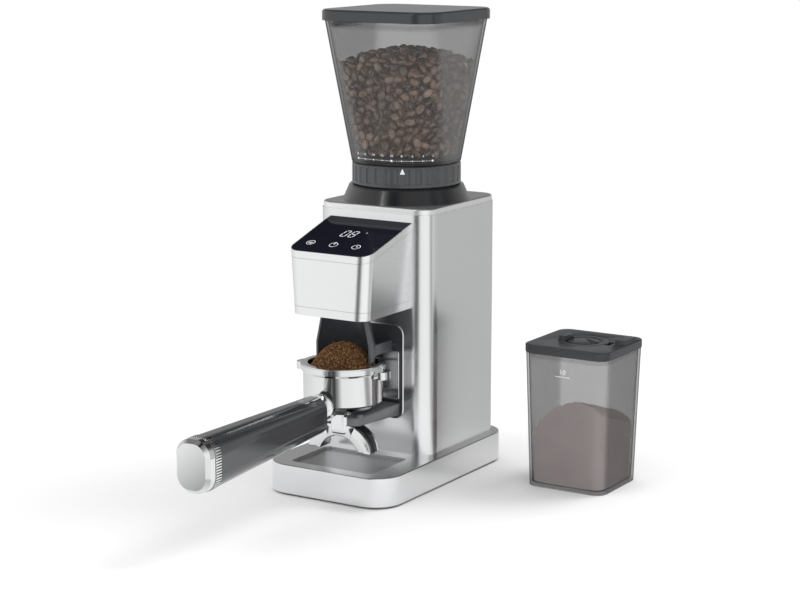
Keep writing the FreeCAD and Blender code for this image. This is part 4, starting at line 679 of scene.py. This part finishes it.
def scatter_tree():
    """Grains on a skin: points at an even spacing, each with a grain at a random turn and size."""
    group = bpy.data.node_groups.new("scattered_grains", "GeometryNodeTree")
    sockets = {}
    for name, kind in (("Skin", "Geometry"), ("Grain", "Object"), ("Spacing", "Float"),
                       ("Smallest", "Float"), ("Largest", "Float"), ("Seed", "Int"),
                       ("Finish", "Material")):
        made = group.interface.new_socket(name, in_out="INPUT", socket_type="NodeSocket" + kind)
        sockets[name] = made.identifier
    group.interface.new_socket("Grains", in_out="OUTPUT", socket_type="NodeSocketGeometry")
    source = group.nodes.new("NodeGroupInput")
    given = {s.name: Wire(group, s) for s in source.outputs if s.name}
    start = Wire(group)
    points = start.node(
        "GeometryNodeDistributePointsOnFaces", {"distribute_method": "POISSON"},
        {"Mesh": given["Skin"], "Distance Min": given["Spacing"], "Density Max": MOST_PER_AREA,
         "Seed": given["Seed"]})
    grain = start.node("GeometryNodeObjectInfo", None, {"Object": given["Grain"]}, "Geometry")
    turn = start.node(
        "FunctionNodeRandomValue", {"data_type": "FLOAT_VECTOR"},
        {"Min": LEAST_TURN, "Max": MOST_TURN, "Seed": given["Seed"]}, 0)
    lie = Wire(group, points.socket.node.outputs["Rotation"])
    laid = start.node("FunctionNodeRotateRotation", {"rotation_space": "LOCAL"}, {0: lie, 1: turn})
    size = start.node(
        "FunctionNodeRandomValue", {"data_type": "FLOAT"},
        {2: given["Smallest"], 3: given["Largest"], "Seed": given["Seed"]}, 1)
    placed = start.node(
        "GeometryNodeInstanceOnPoints", None,
        {"Points": points, "Instance": grain, "Rotation": laid, "Scale": size})
    plain = start.node("GeometryNodeRealizeInstances", None, {0: placed})
    done = start.node("GeometryNodeSetMaterial", None, {"Geometry": plain, "Material": given["Finish"]})
    sink = group.nodes.new("NodeGroupOutput")
    group.links.new(done.socket, sink.inputs[0])
    return group, sockets


grains_group, grains_inputs = scatter_tree()


def scattered(name, skin, grain, spacing, smallest, largest, seed, material):
    """The points and faces of grains on a skin, as a plain mesh."""
    skin_mesh = plain_mesh(name + "_skin", *skin)
    holder = bpy.data.objects.new(name + "_skin", skin_mesh)
    grain_mesh = plain_mesh(name + "_grain", *grain)
    grain_holder = bpy.data.objects.new(name + "_grain", grain_mesh)
    scene.collection.objects.link(holder)
    scene.collection.objects.link(grain_holder)
    change = holder.modifiers.new("grains", "NODES")
    change.node_group = grains_group
    values = {"Grain": grain_holder, "Spacing": spacing, "Smallest": smallest, "Largest": largest,
              "Seed": seed, "Finish": material}
    for socket, value in values.items():
        change[grains_inputs[socket]] = value
    mesh = evaluated_mesh(holder)
    holder.modifiers.remove(change)
    result = [v.co.copy() for v in mesh.vertices], [tuple(p.vertices) for p in mesh.polygons]
    for thing in (holder, grain_holder):
        bpy.data.objects.remove(thing)
    for thing in (mesh, skin_mesh, grain_mesh):
        bpy.data.meshes.remove(thing)
    return result


def bean_shape():
    """A rounded back, a flatter face and a crease along it."""
    rings = []
    for i in range(1, BEAN_RINGS):
        along = -math.cos(math.pi * i / BEAN_RINGS)
        girth = math.sqrt(1 - along * along)
        ring = []
        for k in range(BEAN_SIDES):
            angle = 2 * math.pi * k / BEAN_SIDES
            y = math.cos(angle) * BEAN_WIDE * girth
            z = math.sin(angle) * BEAN_THICK * girth
            if z < 0:
                z *= FLAT_FACE
            if k == BEAN_SIDES * 3 // 4:
                z *= CREASE
            ring.append(Vector((along * BEAN_LONG, y, z)))
        rings.append(ring)
    verts, faces = stacked(rings, False, False)
    low, high = len(verts), len(verts) + 1
    verts += [Vector((-BEAN_LONG, 0, 0)), Vector((BEAN_LONG, 0, 0))]
    last = len(verts) - 2 - BEAN_SIDES
    for k in range(BEAN_SIDES):
        n = (k + 1) % BEAN_SIDES
        faces += [(low, n, k), (high, last + k, last + n)]
    return verts, faces


roast, roast_shader, roast_place = new_finish("roasted_beans")
each_bean = roast_place.node("ShaderNodeNewGeometry", None, None, "Random Per Island")
skin_lines = grain_of(roast_place, 500.0, (1, 1, 1), 3.0)
shade_of_roast = each_bean * 0.8 + skin_lines * 0.3 - 0.07
tint(shade_of_roast, (0.030, 0.015, 0.011), (0.70, 0.43, 0.27)).feed(roast_shader.inputs["Base Color"])
(skin_lines * 0.14 + 0.2).feed(roast_shader.inputs["Roughness"])
roast_shader.inputs["Specular IOR Level"].default_value = 1.0
roast_shader.inputs["Coat Weight"].default_value = 1.0
roast_shader.inputs["Coat Roughness"].default_value = 0.14
roast_shader.inputs["Coat IOR"].default_value = 2.2
roughen(skin_lines, roast_shader, 0.05, 0.0003)
bean_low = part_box("coffee_beans")[0]
HOPPER_WALL = 0.0024
FOOT_HALF, TOP_HALF = 0.0462, 0.0565
FOOT_CORNER, TOP_CORNER, LEAST_CORNER = 0.042, 0.020, 0.004
HEAP_EDGE, HEAP_RISE, HEAP_ROUND = 0.3612, 0.013, 1.8
BEAN_SPACING = 0.0074


def inside_hopper(level, inset):
    """A ring of points inside the hopper's wall at a height."""
    share = (level - hopper_low[2]) / (hopper_high[2] - hopper_low[2])
    half = FOOT_HALF + share * (TOP_HALF - FOOT_HALF) - inset
    corner = max(FOOT_CORNER + share * (TOP_CORNER - FOOT_CORNER) - inset, LEAST_CORNER)
    return [Vector((p.x, p.y + AXIS_Y, level)) for p in rounded_square(half, corner)]


def bean_skin(inset, drop):
    """The heap's outside: walls, then a dome of rings that shrink to the peak."""
    wall_top = HEAP_EDGE - drop
    rings = [inside_hopper(level, inset) for level in (bean_low[2] + 0.004, 0.32, wall_top)]
    rim = rings[-1]
    for share in (0.8, 0.6, 0.4, 0.2, 0.04):
        level = wall_top + HEAP_RISE * (1 - share ** HEAP_ROUND)
        rings.append([Vector((p.x * share, AXIS_Y + (p.y - AXIS_Y) * share, level)) for p in rim])
    return stacked(rings)


def joined(*meshes):
    """Several lists of points and faces as one."""
    verts, faces = [], []
    for more_verts, more_faces in meshes:
        faces += [[i + len(verts) for i in face] for face in more_faces]
        verts += more_verts
    return verts, faces


outer_skin = bean_skin(HOPPER_WALL + 0.0042, 0.0)
inner_skin = bean_skin(HOPPER_WALL + 0.0084, 0.004)
heap_core = bean_skin(HOPPER_WALL + 0.0105, 0.0062)
beans = joined(
    scattered("beans", outer_skin, bean_shape(), BEAN_SPACING, 0.86, 1.04, 7, roast),
    scattered("beans", inner_skin, bean_shape(), BEAN_SPACING, 0.9, 1.04, 8, roast),
    heap_core)
bean_heap = new_piece("bean_heap", *beans, roast, "hopper", "roasted_beans")
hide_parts("coffee_beans")

# Hopper lid: a gloss black moulding with a slightly crowned top and a soft seal under its rim.


def clear_below(material, level, left):
    """Makes the part of a moulding under a level clear, such as a lid's plug."""
    shader = material.node_tree.nodes["Principled BSDF"]
    height = Wire(material.node_tree).node("ShaderNodeTexCoord", None, None, "Object").part("Z")
    (height.maths("GREATER_THAN", height, level) * (1 - left) + left).feed(shader.inputs["Alpha"])
    return material


PLUG_GAP = 0.0002
gloss_lid = moulded("gloss_lid", (0.036, 0.038, 0.042), 0.16, 700.0, 0.02, 0.0, 0.5)
dress(clear_below(gloss_lid, hopper_high[2] - PLUG_GAP, 0.08), "hopper_lid")
dress(smoked("seal_silicone", (0.2, 0.2, 0.2), 0.1, 0.4), "lid_seal")

# Portafilter: a chrome-plated brass cup with two ears, a pressed steel basket, a six-sided boss
# with a forked spout under it, and a black gloss grip with a knurled ring and a bright end cap.


def plated(name, tone, dull):
    """Polished chrome plate with faint polishing marks."""
    material, shader, place = new_finish(name)
    marks_left = grain_of(place, 120.0)
    shader.inputs["Metallic"].default_value = 1.0
    tint(marks_left, [c * 0.97 for c in tone], tone).feed(shader.inputs["Base Color"])
    (marks_left * 0.05 + dull).feed(shader.inputs["Roughness"])
    return material


chrome = plated("chrome_plate", (0.79, 0.795, 0.80), 0.035)
dress(chrome, "portafilter_cup", "handle_cap")
softened("spout_casting", "spout_block", chrome, "portafilter", 0.0008)
dress(brushed_steel("basket_steel", (900, 900, 900), (0.78, 0.78, 0.78), 0.2), "filter_basket")
dress(moulded("gloss_grip", (0.036, 0.038, 0.041), 0.12, 500.0, 0.015, 0.6), "handle_grip")

CUP_Y, CUP_RADIUS = -0.106, 0.034
SPOUT_CENTRE, SPOUT_BEND = Vector((0.0082, 0.0392)), 0.0228
CHANNEL_HALF, CHANNEL_STEPS = 0.0046, 24
CHANNEL_START, CHANNEL_SWEEP = math.radians(2), math.radians(76)
CHANNEL_PROFILE = ((-1, -0.0001), (-0.94, 0.00022), (0.94, 0.00022), (1, -0.0001))
channel_verts, channel_faces = [], []
for side in (1, -1):
    start = len(channel_verts)
    for i in range(CHANNEL_STEPS + 1):
        angle = CHANNEL_START + CHANNEL_SWEEP * i / CHANNEL_STEPS
        for lip, lift in CHANNEL_PROFILE:
            out = SPOUT_BEND + lift
            channel_verts.append(Vector((
                side * (SPOUT_CENTRE.x + out * math.cos(angle)), CUP_Y + lip * CHANNEL_HALF,
                SPOUT_CENTRE.y + out * math.sin(angle))))
    across = len(CHANNEL_PROFILE)
    for i in range(CHANNEL_STEPS):
        for k in range(across - 1):
            a = start + i * across + k
            cell = (a, a + 1, a + across + 1, a + across)
            channel_faces.append(cell if side < 0 else tuple(reversed(cell)))
# Near-black strips laid along each arm of the spout: painted shade for the channel down it.
spout_channel_painted_shade = moulded("spout_channel_painted_shade", (0.02, 0.02, 0.022), 0.2)
new_piece("spout_channels", channel_verts, channel_faces, spout_channel_painted_shade, "portafilter", "chrome")

BOSS_CHAMFER, BOSS_SIDES = math.radians(5), 6
BOSS_PROFILE = ((0.0070, 0.0536), (0.0094, 0.0542), (0.0101, 0.0556), (0.0103, 0.0578), (0.0103, 0.0732))
boss_rings = []
for across, level in BOSS_PROFILE:
    ring = []
    for k in range(BOSS_SIDES):
        for turn in (-1, 1):
            angle = 2 * math.pi * k / BOSS_SIDES + turn * BOSS_CHAMFER
            reach = across / math.cos(math.pi / BOSS_SIDES - BOSS_CHAMFER)
            ring.append(Vector((reach * math.cos(angle), CUP_Y + reach * math.sin(angle), level)))
    boss_rings.append(ring)
new_piece("boss_sleeve", *stacked(boss_rings), chrome, "portafilter", "chrome", False)

FLARE_SIDES = 40
FLARE_PROFILE = ((-0.0008, 0.0125, 0.0706, 0.0965), (0.0008, 0.0098, 0.0703, 0.0915),
                 (0.0022, 0.0086, 0.0700, 0.0880), (0.0045, 0.0081, 0.0699, 0.0861))
flare_rings = []
for out, wide, low, high in FLARE_PROFILE:
    ring = []
    for k in range(FLARE_SIDES):
        angle = 2 * math.pi * k / FLARE_SIDES
        x = -wide * math.cos(angle)
        wall = CUP_Y - math.sqrt(CUP_RADIUS ** 2 - x ** 2)
        ring.append(Vector((x, wall - out, (low + high) / 2 + (high - low) / 2 * math.sin(angle))))
    flare_rings.append(ring)
new_piece("neck_flare", *stacked(flare_rings), chrome, "portafilter", "chrome")

knurl_low, knurl_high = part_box("handle_knurl")
KNURL_CORNER, KNURL_CURVE = 0.0145, 24
KNURL_TEETH, KNURL_DEEP, KNURL_MARGIN = 60, 0.0008, 0.0005
knurl_half = Vector(((knurl_high[0] - knurl_low[0]) / 2, (knurl_high[2] - knurl_low[2]) / 2))
knurl_middle = (knurl_high[2] + knurl_low[2]) / 2


def knurl_outline(inset, steps):
    """Points round the grip's end, evenly spaced, with the outward direction at each."""
    half_x, half_z = knurl_half.x - inset, knurl_half.y - inset
    corner = KNURL_CORNER - inset
    track = []
    for quarter, (sx, sz) in enumerate(((1, 1), (-1, 1), (-1, -1), (1, -1))):
        centre = Vector((sx * (half_x - corner), sz * (half_z - corner)))
        for i in range(KNURL_CURVE + 1):
            angle = quarter * math.pi / 2 + i / KNURL_CURVE * math.pi / 2
            out = Vector((math.cos(angle), math.sin(angle)))
            track.append((centre + corner * out, out))
    track.append(track[0])
    lengths = [0.0]
    for (a, _), (b, _) in zip(track, track[1:]):
        lengths.append(lengths[-1] + (b - a).length)
    even = []
    k = 0
    for i in range(steps):
        want = lengths[-1] * i / steps
        while lengths[k + 1] < want:
            k += 1
        share = (want - lengths[k]) / max(lengths[k + 1] - lengths[k], 1e-9)
        even.append((track[k][0].lerp(track[k + 1][0], share),
                     track[k][1].lerp(track[k + 1][1], share).normalized()))
    return even


def round_grip(point, y):
    """A point of the outline at a place along the handle."""
    return Vector((point.x, y, knurl_middle + point.y))


core_rings = []
for y in (knurl_high[1], knurl_low[1]):
    core_rings.append([round_grip(p, y) for p, _ in knurl_outline(KNURL_DEEP, KNURL_TEETH * 2)])
# The knurl's core between the bright bars is the same chrome made dark: painted shade in the grooves.
knurl_groove_painted_shade = plated("knurl_groove_painted_shade", (0.30, 0.30, 0.305), 0.25)
knurl_core = new_piece("knurl_core", *stacked(core_rings), knurl_groove_painted_shade, "portafilter", "chrome")
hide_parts("handle_knurl")
bars = []
bar_ends = (knurl_high[1] - KNURL_MARGIN, knurl_low[1] + KNURL_MARGIN)
track = knurl_outline(0.0, KNURL_TEETH * 2)
for (left, left_out), (right, right_out) in zip(track[::2], track[1::2]):
    root = KNURL_DEEP * 2
    face = (left - left_out * root, left, right, right - right_out * root)
    bars.append(stacked([[round_grip(p, y) for p in face] for y in bar_ends]))
knurl_plate = plated("knurl_plate", (0.84, 0.845, 0.85), 0.12)
new_piece("knurl_bars", *joined(*bars), knurl_plate, "portafilter", "chrome", False)

# Ground coffee in the basket: a heap of medium-brown granules under the guard.

RIM_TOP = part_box("portafilter_cup")[1][2]
MOUND_SIDES = 72
MOUND_PROFILE = (
    (0.0274, -0.0012), (0.0258, 0.0002), (0.0244, 0.0018), (0.0226, 0.0048), (0.0200, 0.0082),
    (0.0168, 0.0114), (0.0130, 0.0141), (0.0088, 0.0162), (0.0045, 0.0174), (0.0008, 0.0178),
)
grounds, grounds_shader, grounds_place = new_finish("ground_coffee")
each_granule = grounds_place.node("ShaderNodeNewGeometry", None, None, "Random Per Island")
speck = grain_of(grounds_place, 1100.0, (1, 1, 1), 3.0, 0.7)
shade_of_grind = each_granule * 0.95 + speck * 0.3 - 0.12
tint(shade_of_grind, (0.05, 0.02, 0.007), (0.33, 0.165, 0.06)).feed(grounds_shader.inputs["Base Color"])
grounds_shader.inputs["Roughness"].default_value = 0.85
roughen(speck, grounds_shader, 0.5, 0.0008)


def heap_skin(drop):
    """A round heap: flat at the basket's wall, steep sides and a round peak, with lumps."""
    rings = []
    for radius, rise in MOUND_PROFILE:
        ring = []
        for k in range(MOUND_SIDES):
            angle = 2 * math.pi * k / MOUND_SIDES
            p = Vector((radius * math.cos(angle), radius * math.sin(angle), rise))
            lump = noise.noise(p * 240) * 0.0012 + noise.noise(p * 620) * 0.0006 if rise > 0 else 0
            scale = (radius - drop) / radius if radius > drop else 0.5
            ring.append(Vector((p.x * scale, CUP_Y + p.y * scale, RIM_TOP + rise + lump - drop)))
        rings.append(ring)
    return stacked(rings)


def pebble(size):
    """A small angular granule."""
    made = bmesh.new()
    bmesh.ops.create_icosphere(made, subdivisions=1, radius=size)
    shape = random.Random(3)
    verts = [v.co * shape.uniform(0.7, 1.2) for v in made.verts]
    faces = [tuple(v.index for v in f.verts) for f in made.faces]
    made.free()
    return verts, faces


granules = joined(
    scattered("granules", heap_skin(0.0004), pebble(0.00085), 0.0013, 0.6, 1.25, 11, grounds),
    heap_skin(0.0010))
coffee_mound = new_piece("coffee_mound", *granules, grounds, "portafilter", "coffee_grounds", False)
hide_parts("ground_coffee")

# Grounds container: a tapering can of smoked clear plastic with a printed fill line, a gloss
# black lid with a lifting tab and a round pour flap, and fine ground coffee inside.

dress(smoked("smoked_can", (0.10, 0.098, 0.098), 0.25, 0.08), "grounds_container")
can_lid_moulding = moulded("can_lid_moulding", (0.042, 0.044, 0.048), 0.32, 700.0, 0.03, 0.0, 0.32)
clear_below(can_lid_moulding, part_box("grounds_container")[1][2] - PLUG_GAP, 0.12)
softened("can_lid", "container_lid", can_lid_moulding, "container_cover", 0.0009)
softened("can_flap", "container_flap", can_lid_moulding, "pour_flap", 0.0004)
can_faces = surface_of("grounds_container")
CAN_X, CAN_Y = 0.1582, 0.0324
WELL_IN_FRONT = -0.3


def on_can(x, z):
    """A point on the can's front wall."""
    hit, normal, _, _ = can_faces.ray_cast(Vector((CAN_X + x, WELL_IN_FRONT, z)), Vector((0, 1, 0)))
    return hit + normal * Print.LIFT


FILL_LEVEL = 0.1010
fill_mark = Print()
fill_mark.words("10", 0.0044, (-0.0008, FILL_LEVEL + 0.004), on_can)
fill_mark.stroke(((-0.0078, FILL_LEVEL), (0.0062, FILL_LEVEL)), 0.0005, on_can)
new_piece("fill_mark", fill_mark.verts, fill_mark.faces, print_white, "container", "smoked_can", False)

powder, powder_shader, powder_place = new_finish("coffee_powder")
dust = grain_of(powder_place, 900.0, (1, 1, 1), 3.0)
drift = grain_of(powder_place, 60.0)
tint(dust * 0.6 + drift * 0.6 - 0.1, (0.72, 0.60, 0.59), (0.94, 0.84, 0.83)).feed(
    powder_shader.inputs["Base Color"])
powder_shader.inputs["Roughness"].default_value = 0.9
roughen(dust, powder_shader, 0.3, 0.0006)
CAN_INSET = Vector((0.0024, 0.0024))
CAN_FOOT, CAN_TOP, CAN_HEIGHT = Vector((0.0368, 0.035)), Vector((0.03985, 0.0385)), 0.1184
POWDER_FOOT, POWDER_PEAK, PEAK_AT = 0.0036, 0.0800, 0.35
SIDE_FALL, FRONT_LEAN, CORNER_SQUEEZE = 0.035, 0.0105, 0.10


def can_half(level):
    """Half the can's inner width and depth at a height."""
    return CAN_FOOT.lerp(CAN_TOP, level / CAN_HEIGHT) - CAN_INSET


def powder_height(u, v):
    """The powder's top: a dome, highest right of the middle and in front, with a ragged edge."""
    dome = POWDER_PEAK - SIDE_FALL * (abs(u - PEAK_AT) / (1 + PEAK_AT)) ** 1.8 - FRONT_LEAN * (v + 1)
    coarse = 0.0014 * noise.noise(Vector((u * 9, v * 9, 0)))
    fine = 0.001 * noise.noise(Vector((u * 30, v * 30, 2)))
    return dome + coarse + fine


CELLS = 56
powder_verts, powder_faces = [], []
for layer in (0, 1):
    for i in range(CELLS + 1):
        for j in range(CELLS + 1):
            u, v = 2 * i / CELLS - 1, 2 * j / CELLS - 1
            level = powder_height(u, v) if layer else POWDER_FOOT
            half = can_half(level)
            squeeze = 1 - CORNER_SQUEEZE * (u * u * v * v) ** 2
            powder_verts.append(
                Vector((CAN_X + u * half.x * squeeze, CAN_Y + v * half.y * squeeze, level)))
row = CELLS + 1
sheet_size = row * row
for i in range(CELLS):
    for j in range(CELLS):
        a = i * row + j
        b = sheet_size + a
        powder_faces.append((a, a + 1, a + row + 1, a + row))
        powder_faces.append((b, b + row, b + row + 1, b + 1))
edge = ([i * row for i in range(CELLS)] + [CELLS * row + j for j in range(CELLS)]
        + [(CELLS - i) * row + CELLS for i in range(CELLS)] + [CELLS - j for j in range(CELLS)])
for a, b in zip(edge, edge[1:] + edge[:1]):
    powder_faces.append((a, b, sheet_size + b, sheet_size + a))
powder_heap = new_piece(
    "powder_heap", powder_verts, powder_faces, powder, "container", "coffee_grounds", False)
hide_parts("container_grounds")
